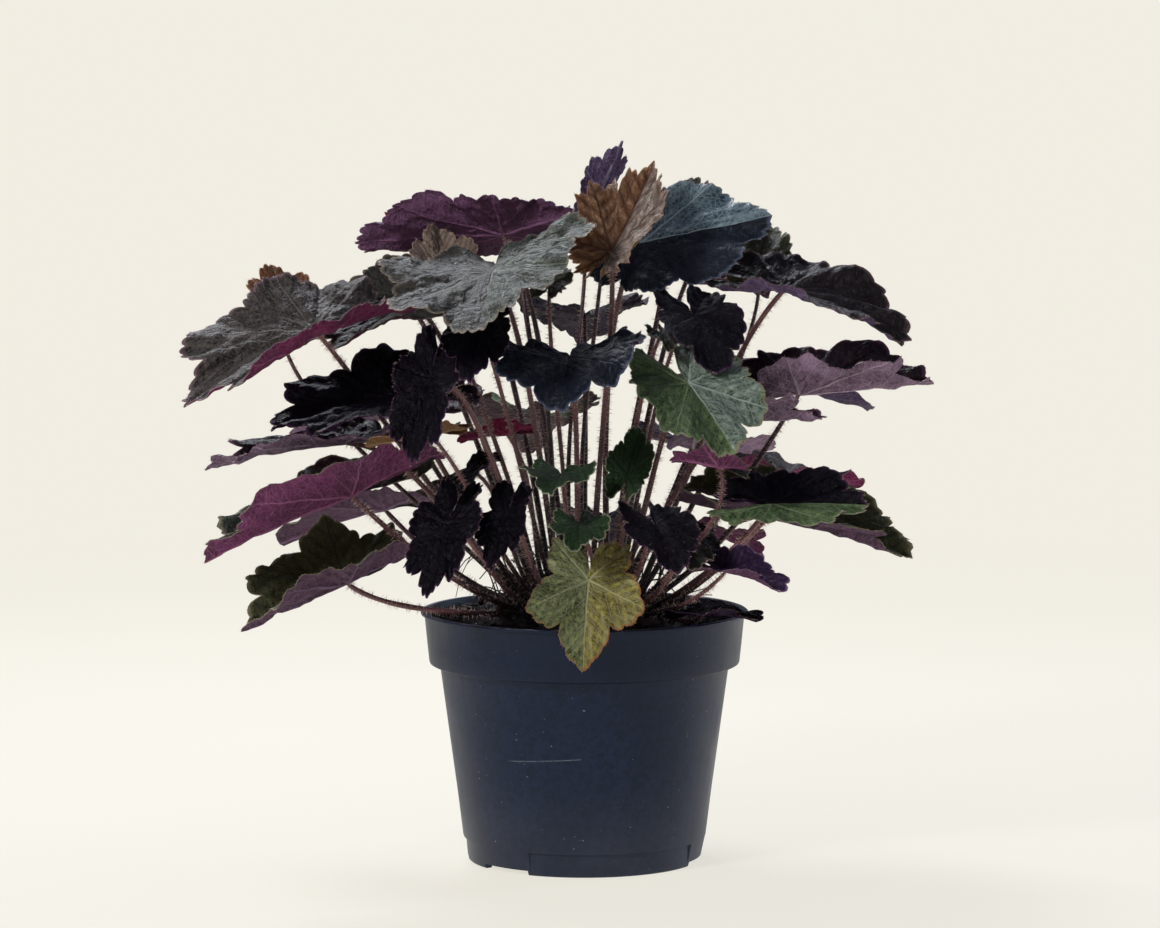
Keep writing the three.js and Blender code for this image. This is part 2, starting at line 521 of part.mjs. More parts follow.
function settle(row) {
  const home = row.at;
  const axes = leafAxes(row);
  let best = { least: -100 };
  for (const [up, along, aside] of SHIFTS) {
    row.at = add(add(add(home, axes.n, up), axes.m, along), axes.s, aside);
    const blade = bladeSamples(row);
    const room = Math.min(aboveGround(blade, BLADE_ROOM), spare(blade, BLADE_ROOM, best.least));
    if (room <= best.least) continue;
    for (const [bendSide, bendUp, steeper] of BENDS) {
      for (const [swing, draw] of BASES) {
        const curve = petioleCurve(row, swing, draw, bendSide, bendUp, steeper);
        const stem = stemSamples(curve);
        const out = stem.filter((p) => Math.hypot(p[0], p[1]) > CROWN_R || p[2] > CROWN_Z + CROWN_RISE);
        const least = Math.min(room, aboveGround(out, 1.2), spare(stem, row.stem + STEM_ROOM, best.least));
        if (least > best.least) best = { at: row.at, curve, blade, stem, least };
        if (best.least > 0) break;
      }
      if (best.least > 0) break;
    }
    if (best.least > 0) break;
  }
  row.at = best.at;
  row.curve = best.curve;
  occupy(best.blade, BLADE_ROOM);
  occupy(best.stem, row.stem + STEM_ROOM);
}

// ---- assembly -----------------------------------------------------------------------------------
const group = new THREE.Group();
group.name = 'heuchera_in_pot';

function place(name, body, colour, roughness) {
  const { vertProperties, triVerts, numProp } = body.getMesh();
  const positions = new Float32Array((vertProperties.length / numProp) * 3);
  for (let i = 0; i < positions.length / 3; i++) {
    for (let k = 0; k < 3; k++) positions[3 * i + k] = vertProperties[numProp * i + k];
  }
  const geometry = new THREE.BufferGeometry();
  geometry.setAttribute('position', new THREE.BufferAttribute(positions, 3));
  geometry.setIndex(new THREE.BufferAttribute(new Uint32Array(triVerts), 1));
  const mesh = new THREE.Mesh(geometry, new THREE.MeshStandardMaterial({ color: colour, roughness, metalness: 0 }));
  mesh.name = name;
  group.add(mesh);
}

const largest = (body) => body.decompose().reduce((a, b) => (b.volume() > a.volume() ? b : a));

place('nursery_pot', nurseryPot(), '#23242f', 0.45);
place('potting_soil', pottingSoil(), '#1d1714', 0.95);

for (const row of LEAVES) settle(row);

let rootstock = crown();
for (const row of LEAVES) rootstock = rootstock.subtract(petioleHole(row));
place('crown', largest(rootstock), '#3b2a24', 0.9);

for (const row of LEAVES) {
  place(row.name, bladeSolid(row).add(petioleTube(row)), row.colour, 0.55);
}

export default group;
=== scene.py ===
"""Heuchera in its nursery pot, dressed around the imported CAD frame.

Leaves, petioles, crown, soil and pot are grown again at full detail in the places where the
frame's nodes stand. Lengths inside the builders are millimetres; meshes leave them in metres.
"""

import math

import bpy
import numpy as np
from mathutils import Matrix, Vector


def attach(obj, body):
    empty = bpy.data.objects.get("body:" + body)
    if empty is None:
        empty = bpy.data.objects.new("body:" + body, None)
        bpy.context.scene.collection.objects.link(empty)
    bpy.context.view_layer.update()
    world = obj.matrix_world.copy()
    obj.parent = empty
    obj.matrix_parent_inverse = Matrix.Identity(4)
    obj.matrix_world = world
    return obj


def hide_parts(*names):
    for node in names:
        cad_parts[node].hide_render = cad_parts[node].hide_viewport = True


bl_info = {
    "name": "Heuchera in a nursery pot",
    "version": (1, 0, 0),
    "blender": (4, 5, 0),
    "location": "View3D > Sidebar > Heuchera",
    "description": "Grows a potted heuchera with lobed, ruffled leaves",
    "category": "Object",
}

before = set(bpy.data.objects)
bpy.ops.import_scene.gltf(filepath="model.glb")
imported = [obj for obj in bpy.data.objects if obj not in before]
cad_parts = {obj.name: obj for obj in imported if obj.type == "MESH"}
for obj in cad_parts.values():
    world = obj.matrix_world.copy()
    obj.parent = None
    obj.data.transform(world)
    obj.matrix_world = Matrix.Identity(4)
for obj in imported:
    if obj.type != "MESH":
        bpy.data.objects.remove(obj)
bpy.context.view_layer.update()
MM = 0.001


# ---- colour ------------------------------------------------------------------------------------
def paint(code, alpha=1.0):
    """Linear colour of a hex code."""
    parts = [int(code[i : i + 2], 16) / 255 for i in (0, 2, 4)]
    linear = [c / 12.92 if c <= 0.04045 else ((c + 0.055) / 1.055) ** 2.4 for c in parts]
    return (*linear, alpha)


# upper side: flesh; shade, laid on as painted shade beside the sunken veins, in the creases and at
# the heart, and as darker mottling; vein; margin; under side: flesh, vein; light seen through the
# blade; share of that light; roughness of the upper side
FINISHES = {
    "silver": ("343b31", "161914", "7e8576", "8c8676", "4a2440", "7a4566", "6c7a48", 0.08, 0.60),
    "pewter": ("32312a", "161514", "605d53", "8c7f70", "521f40", "86466c", "86805a", 0.08, 0.58),
    "grey": ("45413c", "1d1718", "766e66", "8c7078", "7e2c5a", "ac6088", "8c6a62", 0.08, 0.58),
    "purple": ("5e4062", "38264a", "22142e", "94709a", "7a5472", "a06e96", "84506e", 0.14, 0.52),
    "bronze": ("dcae86", "7c5a42", "4e3424", "c49870", "8c6848", "b89a74", "c89058", 0.28, 0.54),
    # a young leaf's own colour; on bronze_top's paler half it is painted sheen
    "tan": ("e8d8ca", "9a8678", "645448", "c0a088", "8c6848", "b89a74", "b07a48", 0.24, 0.54),
    "slate": ("1c2636", "0e1420", "1a2230", "56627a", "2c1c3a", "4a3858", "3c3a52", 0.05, 0.44),
    # a paler, teal copy of slate for the half of slate_right that catches the light: painted sheen
    "steel": ("607c88", "2a3a46", "a4b8c2", "8a98a0", "2c1c3a", "4a3858", "3c3a52", 0.05, 0.47),
    "dark": ("2a2026", "171015", "0d080c", "70565f", "76608a", "9a86a8", "6a4034", 0.10, 0.50),
    "green": ("76985a", "223820", "90a478", "98a07c", "43233a", "664458", "7a9a38", 0.20, 0.46),
    # a pale teal copy of green for one half of green_facing: painted sheen
    "moss": ("b4ccb6", "364e3e", "ccdacc", "98966c", "43233a", "664458", "7a9a48", 0.14, 0.46),
    "plum": ("2c1a26", "190f18", "0d070d", "7c4e6c", "ae90ae", "ceb2ca", "8a3e6a", 0.16, 0.50),
    "ink": ("100c1c", "080610", "040308", "4c3050", "241630", "402a46", "5a2444", 0.08, 0.52),
    "magenta": ("46584a", "28342c", "1a221e", "a09c84", "944e7e", "bc78a2", "a84278", 0.20, 0.50),
    "olive": ("5a5e42", "363a2a", "202218", "9c9478", "6c4c68", "927494", "968c4c", 0.22, 0.50),
    "crimson": ("7a2448", "4a1634", "30101f", "b46480", "9a2656", "c05c84", "b83460", 0.28, 0.50),
    "lilac": ("6e5a84", "483862", "30244a", "b8a4c4", "766490", "b0a2be", "96689a", 0.24, 0.52),
    "fresh": ("4f7a48", "2a4428", "1c301c", "a8b090", "4c3048", "6c4c62", "7aa040", 0.20, 0.44),
    "star": ("e8d85c", "584c20", "ece8a8", "c86c3c", "7a7440", "a8a468", "ccc038", 0.28, 0.42),
    # the star's greener half, greyed with painted sheen
    "dew": ("acb870", "384226", "ccd2a0", "b08c58", "7a7440", "a8a468", "a8b444", 0.24, 0.40),
}


def unit_colour(name, text, code):
    return bpy.props.FloatVectorProperty(
        name=name, description=text, default=paint(code), size=4, subtype="COLOR", min=0, max=1
    )


def length(name, text, default, top=1.0):
    return bpy.props.FloatProperty(
        name=name, description=text, default=default, min=0, max=top, unit="LENGTH", precision=4
    )


def density(name, text, default):
    return bpy.props.FloatProperty(name=name, description=text, default=default, min=0)


def how_many(name, text, default):
    return bpy.props.IntProperty(name=name, description=text, default=default, min=0, max=2000)


def draw_seed(default):
    return bpy.props.IntProperty(
        name="Seed", description="Start of the random draws", default=default
    )


# ---- shader recipes ----------------------------------------------------------------------------
class Wire:
    """An output socket; each sum made with it adds a Math node to its tree."""

    def __init__(self, socket):
        self.socket, self.tree = socket, socket.id_data

    def maths(self, operation, a, b=0.0):
        return wire(self.tree, "ShaderNodeMath", {0: a, 1: b, 2: 0.0}, operation=operation)

    def __add__(self, other):
        return self.maths("ADD", self, other)

    def __radd__(self, other):
        return self.maths("ADD", other, self)

    def __sub__(self, other):
        return self.maths("SUBTRACT", self, other)

    def __rsub__(self, other):
        return self.maths("SUBTRACT", other, self)

    def __mul__(self, other):
        return self.maths("MULTIPLY", self, other)

    def __truediv__(self, other):
        return self.maths("DIVIDE", self, other)

    def __abs__(self):
        return self.maths("ABSOLUTE", self)

    def sign(self):
        return self.maths("SIGN", self)

    def fraction(self):
        return self.maths("FRACT", self)

    def or_more(self, other):
        return self.maths("MAXIMUM", self, other)


def node(tree, kind, inputs=None, **settings):
    """A new shader node; wires given in inputs are linked, and plain values are set."""
    made = tree.nodes.new(kind)
    for key, value in settings.items():
        setattr(made, key, value)
    for key, value in (inputs or {}).items():
        if isinstance(value, Wire):
            tree.links.new(value.socket, made.inputs[key])
        else:
            made.inputs[key].default_value = value
    return made


def wire(tree, kind, inputs=None, output=0, **settings):
    """One output of a new shader node."""
    return Wire(node(tree, kind, inputs, **settings).outputs[output])


def blend(share, a, b):
    return wire(share.tree, "ShaderNodeMix", {0: share, 6: a, 7: b}, 2, data_type="RGBA")


def coats(colour, *layers):
    """A colour under layers of (share, colour), laid on in their order."""
    for share, coat in layers:
        colour = blend(share, colour, coat)
    return colour


def rise(value, low, high, least=0.0, most=1.0):
    """Smooth step of value from low to high."""
    sockets = {0: value, 1: low, 2: high, 3: least, 4: most}
    return wire(value.tree, "ShaderNodeMapRange", sockets, interpolation_type="SMOOTHSTEP")


def noise(place, scale, detail=3.0, rough=0.55):
    sockets = {"Vector": place, "Scale": scale, "Detail": detail, "Roughness": rough}
    return wire(place.tree, "ShaderNodeTexNoise", sockets)


def cells(place, scale, feature="DISTANCE_TO_EDGE"):
    sockets = {"Vector": place, "Scale": scale}
    return wire(place.tree, "ShaderNodeTexVoronoi", sockets, "Distance", feature=feature)


def bump(height, strength, distance):
    sockets = {"Height": height, "Strength": strength, "Distance": distance}
    return wire(height.tree, "ShaderNodeBump", sockets)


def split(vector):
    parts = node(vector.tree, "ShaderNodeSeparateXYZ", {0: vector}).outputs
    return [Wire(part) for part in parts]


def join(x, y, z=0.0):
    return wire(x.tree, "ShaderNodeCombineXYZ", {0: x, 1: y, 2: z})


def plain_place(tree):
    return wire(tree, "ShaderNodeTexCoord", output="Object")


def body(colour, rough, more):
    """Principled shader; more holds its further sockets."""
    sockets = {"Base Color": colour, "Roughness": rough, **more}
    return wire(colour.tree, "ShaderNodeBsdfPrincipled", sockets)


def thin(surface, share, light):
    """A surface that lets a share of the light through; light holds the translucent sockets."""
    glow = wire(surface.tree, "ShaderNodeBsdfTranslucent", light)
    return wire(surface.tree, "ShaderNodeMixShader", {0: share, 1: surface, 2: glow})


def material(name, recipe, *details):
    """A material whose surface is what the recipe makes in its node tree."""
    made = bpy.data.materials.new(name)
    made.use_nodes = True
    tree = made.node_tree
    tree.nodes.clear()
    node(tree, "ShaderNodeOutputMaterial", {"Surface": recipe(tree, *details)})
    return made


# ---- meshes ------------------------------------------------------------------------------------
def unit(v):
    return v / np.linalg.norm(v, axis=-1, keepdims=True)


class Shell:
    """Collects points and faces in millimetres, with a material index for each face."""

    def __init__(self):
        self.points, self.faces, self.paints, self.count = [], [], [], 0
        self.veins, self.sheets = [], []

    def add(self, points, faces, paint_index, veins=None, sheets=None):
        """New points with faces over them; the first point's number comes back."""
        first = self.count
        self.points.append(np.asarray(points, float))
        self.count += len(points)
        self.link(first, faces, paint_index, veins, sheets)
        return first

    def link(self, first, faces, paint_index, veins=None, sheets=None):
        """Faces over points already in; veins and sheets hold three numbers a corner."""
        faces = np.asarray(faces)
        self.faces += (faces + first).tolist()
        self.paints.append(np.broadcast_to(paint_index, len(faces)))
        for store, rows in ((self.veins, veins), (self.sheets, sheets)):
            store.append(np.zeros((faces.size, 3)) if rows is None else rows.reshape(-1, 3))

    def add_solid(self, points, walls, caps, paint_index):
        """A closed solid from its points, its side faces and its end faces."""
        self.link(self.add(points, walls, paint_index), caps, paint_index)

    def piece(self, name, materials, coordinates=False, crease=50):
        mesh = bpy.data.meshes.new(name)
        mesh.from_pydata((np.concatenate(self.points) * MM).tolist(), [], self.faces)
        for coat in materials:
            mesh.materials.append(coat)
        mesh.polygons.foreach_set("material_index", np.concatenate(self.paints).astype(np.int32))
        mesh.polygons.foreach_set("use_smooth", np.ones(len(self.faces), bool))
        if coordinates:
            for label, rows in (("vein", self.veins), ("sheet", self.sheets)):
                layer = mesh.attributes.new(label, "FLOAT_VECTOR", "CORNER")
                layer.data.foreach_set("vector", np.concatenate(rows).astype(np.float32).ravel())
        mesh.set_sharp_from_angle(angle=math.radians(crease))
        made = bpy.data.objects.new(name, mesh)
        bpy.context.scene.collection.objects.link(made)
        return made


def lathe_faces(rows, columns):
    """Quads between rings of equal length, wound outward for rings listed from the axis down."""
    j, i = np.meshgrid(np.arange(rows - 1), np.arange(columns), indexing="ij")
    k = (i + 1) % columns
    here, below = j * columns, (j + 1) * columns
    return np.stack([here + i, here + k, below + k, below + i]).reshape(4, -1).T


def fan(columns, pole, first, outward=True):
    i = np.arange(columns)
    k = (i + 1) % columns
    order = [np.full(columns, pole), first + k, first + i]
    return np.stack(order if outward else [order[0], order[2], order[1]]).T


def tube(path, radii, sides):
    """Points, side and end faces of a closed tube along a path, and its direction at each step."""
    path = np.asarray(path, float)
    steps = np.vstack([path[1:2] - path[:1], path[2:] - path[:-2], path[-1:] - path[-2:-1]])
    tangents = unit(steps)
    normal = np.array([0, 0, 1.0]) if abs(tangents[0][2]) < 0.9 else np.array([1.0, 0, 0])
    angles = np.arange(sides) * 2 * math.pi / sides
    rings = []
    for centre, tangent, radius in zip(path, tangents, radii):
        normal = unit(normal - tangent * normal.dot(tangent))
        side = np.cross(tangent, normal)
        spokes = np.outer(np.cos(angles), normal) + np.outer(np.sin(angles), side)
        rings.append(centre + spokes * radius)
    points = np.vstack([np.concatenate(rings), path[:1], path[-1:]])
    n = len(path) * sides
    walls = lathe_faces(len(path), sides)
    caps = np.vstack([fan(sides, n, 0), fan(sides, n + 1, n - sides, outward=False)])
    return points, walls, caps, tangents


def ring(radius, angles, height):
    """Points of a ring round the Z axis."""
    level = np.broadcast_to(height, angles.shape)
    return np.stack([radius * np.cos(angles), radius * np.sin(angles), level], 1)


def turned_solid(rings, start, end):
    """Points, side and end faces of a closed solid from rings of points and two poles."""
    n = len(rings[0])
    count = len(rings) * n
    points = np.vstack([np.concatenate(rings), [start], [end]])
    caps = np.vstack([fan(n, count, 0), fan(n, count + 1, count - n, outward=False)])
    return points, lathe_faces(len(rings), n), caps


# ---- leaves ------------------------------------------------------------------------------------
# One row a leaf: name, junction with the petiole, heading of the midrib in degrees (round, above
# the horizon), roll, (length, width), fold and curl of the left and right halves in degrees, droop
# along the midrib, ruffle in mm, finish (or the left half's and the right half's), outline.
PLAIN = {}
BIG = {"fine": 2}
SMALL = {"lobes": 5, "stem": 1.05, "cut": 0.2}
YOUNG = {"fine": 2, "heel": 0.42, "pointed": True}
HEEL = {"heel": 0.5}
BACK = {"lobes": 5, "cut": 0.19}
LEVEL = {"steep": 0.15}
STAR = {"lobes": 5, "cut": 0.33, "point": 1.5, "heel": 0.62}
LEAF_DEFAULTS = {
    "lobes": 7, "teeth": 3, "fine": 1, "cut": 0.17, "point": 2.2, "stem": 1.35, "phase": 0.0,
    "heel": 0.72, "steep": 0.7, "pointed": False,
}
LEAVES = [
    # front, top to bottom
    ("silver_front", (-46, -70, 310), -95, -13, 20, (74, 134), (8, 14), (0, 18), 14, 3.5,
     "silver/pewter", BIG),
    ("grey_far_left", (-136, -54, 279), 216, -17, -27, (82, 98), (20, 4), (66, 10), 20, 3.5, "grey", BIG),
    ("grey_left", (-88, -2, 291), 200, -11, -24, (70, 84), (0, 6), (40, 8), 16, 3, "pewter", BIG),
    ("purple_top", (-42, 4, 325), 162, -2, 34, (80, 78), (4, 8), (8, 6), 6, 3.5, "purple", BIG),
    # the second finish is paler where the leaf faces the light: painted sheen
    ("bronze_top", (12, -58, 322), 52, 46, 6, (56, 80), (24, 22), (14, 10), -10, 3, "bronze/tan", YOUNG),
    # the first finish is a paler copy of slate: painted sheen
    ("slate_right", (29, -30, 322), -3, 13, 52, (66, 84), (-6, -4), (8, 8), 6, 3, "steel/slate", HEEL),
    ("dark_right", (102, -25, 298), -18, -10, 18, (70, 64), (18, 12), (10, 30), 24, 3.5, "dark", PLAIN),
    # the first finish is a pale teal copy of green: painted sheen
    ("green_facing", (52, -76, 254), -56, -34, 14, (50, 76), (8, 4), (8, 8), 14, 3, "moss/green", BIG),
    ("folded_right", (110, -20, 243), -4, 5, 6, (70, 68), (48, 40), (4, 10), 0, 3, "plum", PLAIN),
    ("dark_left", (-97, -50, 247), 199, -8, -20, (68, 70), (6, 20), (6, 12), 12, 3, "ink", PLAIN),
    ("magenta_left", (-116, -56, 194), 207, -16, -10, (86, 66), (60, 14), (12, 10), 10, 3, "magenta", PLAIN),
    ("olive_low_left", (-107, -50, 156), 206, -18, -6, (60, 74), (36, 58), (10, 10), 8, 3, "olive", PLAIN),
    ("olive_right", (96, -20, 183), -8, -11, 6, (76, 72), (44, 22), (8, 14), 8, 3, "olive", PLAIN),
    ("magenta_right", (68, -66, 211), 176, 14, 4, (26, 28), (44, 10), (14, 8), 14, 2, "magenta", SMALL),
    ("black_green_right", (90, -58, 191), -13, 3, 38, (50, 52), (8, 12), (8, 10), 6, 3, "ink/green", PLAIN),
    # the second finish is greener, and greyed with painted sheen
    ("star", (2, -80, 155), -97, -50, 2, (50, 74), (4, 6), (4, 4), 16, 2, "star/dew", STAR),
    ("blue_black", (-6, -58, 270), -96, -12, 4, (44, 96), (10, 10), (12, 12), 40, 3.5, "slate", PLAIN),
    ("hanging_left", (-77, -80, 257), -112, -56, 0, (48, 44), (14, 14), (8, 8), 10, 2, "ink", PLAIN),
    ("hanging_mid", (-51, -64, 268), -100, -36, 0, (36, 44), (12, 12), (8, 8), 16, 2.5, "ink", SMALL),
    ("lobed_far_left", (-120, -60, 221), 190, -4, -4, (72, 52), (18, 16), (10, 12), 12, 3, "plum", LEVEL),
    ("brown_curled", (-86, -66, 233), 196, -6, 6, (34, 28), (20, 12), (12, 10), 6, 2, "bronze", SMALL),
    ("hanging_low", (-67, -74, 181), -116, -50, 0, (42, 46), (8, 8), (10, 10), 12, 2, "ink", PLAIN),
    ("green_mid", (-12, -70, 207), -98, -4, 6, (34, 48), (8, 20), (8, 14), 14, 2.5, "fresh", SMALL),
    ("green_low", (-3, -74, 185), -90, -12, 0, (30, 38), (6, 6), (8, 8), 16, 2.5, "fresh", SMALL),
    ("green_up", (22, -56, 206), 72, 46, 4, (30, 30), (14, 12), (8, 8), -6, 2, "fresh", SMALL),
    ("black_mid", (28, -76, 190), -70, -24, 4, (38, 46), (10, 10), (8, 8), 16, 2.5, "ink", SMALL),
    ("purple_arched", (37, -68, 180), -70, 4, 0, (26, 34), (-8, -8), (-8, -8), 46, 2, "magenta", SMALL),
    ("dark_mid_left", (-35, -61, 199), -111, -46, 0, (34, 33), (10, 10), (8, 8), 10, 2.5, "ink", SMALL),
    ("violet_right", (72, -68, 162), -24, -8, 0, (34, 38), (34, 12), (12, 8), 14, 2.5, "purple", SMALL),
    ("brown_inner_right", (56, -24, 170), -40, -34, 0, (28, 28), (10, 10), (8, 8), 12, 2, "dark", SMALL),
    ("purple_right", (71, -34, 231), -9, 6, 2, (52, 50), (12, 44), (8, 10), 8, 2.5, "plum", PLAIN),
    ("dark_rim_right", (60, -46, 145), -18, 2, 0, (32, 36), (8, 8), (8, 8), 10, 2, "ink", SMALL),
    ("red_strip", (-40, -24, 224), 180, -5, 0, (26, 26), (40, 12), (10, 8), 8, 2, "crimson", SMALL),
    ("dark_inner_left", (-61, -37, 206), 220, -32, 0, (27, 28), (10, 10), (8, 8), 10, 2, "ink", SMALL),
    ("inner", (52, -52, 286), -66, -36, 0, (40, 56), (10, 10), (8, 8), 16, 2.5, "ink", SMALL),
    ("olive_tiny", (40, -60, 288), -70, -18, 0, (18, 20), (6, 6), (8, 8), 12, 1.5, "olive", SMALL),
    ("green_tiny", (-18, -30, 300), 82, 26, 0, (22, 28), (8, 8), (8, 8), 0, 1.5, "olive", SMALL),
    ("tan_young", (-62, -24, 320), 112, 58, 0, (27, 46), (14, 14), (8, 8), -4, 2.5, "tan", SMALL),
    ("pink_left", (-66, 42, 314), 166, 8, 4, (44, 48), (22, 10), (8, 8), 6, 2.5, "crimson", PLAIN),
    ("bronze_far_left", (-157, 6, 287), 112, 58, 0, (26, 46), (12, 12), (10, 8), 6, 2.5, "bronze", SMALL),
    ("violet_crest", (8, 16, 346), -58, 52, 0, (34, 30), (14, 14), (8, 8), 0, 1.5, "lilac", SMALL),
    ("grey_crest", (2, 30, 331), 158, 16, 0, (26, 34), (12, 12), (8, 8), 8, 2, "pewter", SMALL),
    ("green_crest", (44, -2, 331), 62, 34, 0, (40, 40), (10, 10), (8, 8), 4, 2.5, "pewter", PLAIN),
    ("brown_right", (90, 6, 308), 70, 52, 0, (28, 44), (12, 12), (8, 8), 8, 2, "olive", SMALL),
    # back
    ("back_top", (-34, 66, 322), 84, -6, 0, (60, 80), (10, 10), (10, 10), 14, 3, "ink", BACK),
    ("back_high_left", (-90, 58, 282), 146, -6, 0, (72, 84), (14, 14), (10, 10), 14, 3, "grey", BACK),
    ("back_high_right", (55, 62, 300), 56, -4, 0, (70, 84), (12, 12), (10, 10), 14, 3, "silver", BACK),
    ("back_mid", (0, 90, 278), 92, -8, 0, (74, 88), (12, 12), (10, 10), 16, 3, "ink", BACK),
    ("back_left", (-96, 72, 226), 146, -10, 0, (74, 84), (18, 18), (10, 10), 16, 3, "plum", BACK),
    ("back_right", (92, 58, 242), 26, -6, 0, (70, 84), (14, 14), (10, 10), 14, 3, "dark", BACK),
    ("back_low", (-22, 100, 222), 100, -12, 0, (72, 84), (14, 14), (10, 10), 16, 3, "green", BACK),
    ("back_low_right", (58, 92, 206), 56, -12, 0, (66, 78), (14, 14), (10, 10), 16, 3, "plum", BACK),
    ("back_far_right", (100, 52, 198), 24, -12, 0, (64, 70), (16, 16), (10, 10), 14, 3, "grey", BACK),
    ("back_side_left", (-104, 46, 178), 158, -12, 0, (64, 70), (18, 18), (10, 10), 14, 3, "olive", BACK),
    ("back_rim", (10, 92, 166), 86, -18, 0, (54, 64), (10, 10), (10, 10), 16, 3, "ink", BACK),
    ("back_rim_right", (60, 64, 160), 46, -14, 0, (44, 52), (12, 12), (8, 8), 14, 2.5, "pewter", SMALL),
]

COVER = 164  # the lobes reach this far round from the tip, degrees
BASE_R, BASE_Z = 38, 130.5  # petioles start at about this radius, at this height
BLADE_HALF = 0.4  # half the thickness of the frame's blades
BLADE_GAP_LIMIT, STEM_GAP_LIMIT = 0.35, 0.1  # a leaf further from its node's points is an error
REACHES = (3.5, 7, 11, 16)
DIRECTIONS = [
    (1, 0, 0), (-1, 0, 0), (0, 1, 0), (0, -1, 0), (0, 0, 1), (0, 0, -1),
    (0.58, 0.58, 0.58), (0.58, 0.58, -0.58), (0.58, -0.58, 0.58), (0.58, -0.58, -0.58),
    (-0.58, 0.58, 0.58), (-0.58, 0.58, -0.58), (-0.58, -0.58, 0.58), (-0.58, -0.58, -0.58),
]
SHIFTS = [(0, 0, 0)] + [tuple(v * reach for v in d) for reach in REACHES for d in DIRECTIONS]
BENDS = [
    (0, 0, 0), (7, 0, 0), (-7, 0, 0), (0, 7, 0), (0, -7, 0), (0, 0, -0.4), (13, 0, 0), (-13, 0, 0),
    (9, 8, 0), (-9, 8, 0), (9, -8, -0.4), (-9, -8, -0.4), (20, 0, 0), (-20, 0, 0), (16, 0, -0.5),
    (-16, 0, -0.5), (28, 4, 0), (-28, 4, 0),
]
BASES = [
    (0, 0), (9, 0), (-9, 0), (0, -8), (16, -4), (-16, -4), (8, -14), (-8, -14), (24, -8), (-24, -8),
    (38, -12), (-38, -12), (0, -20), (30, -20), (-30, -20), (0, 5), (12, 5), (-12, 5),
]


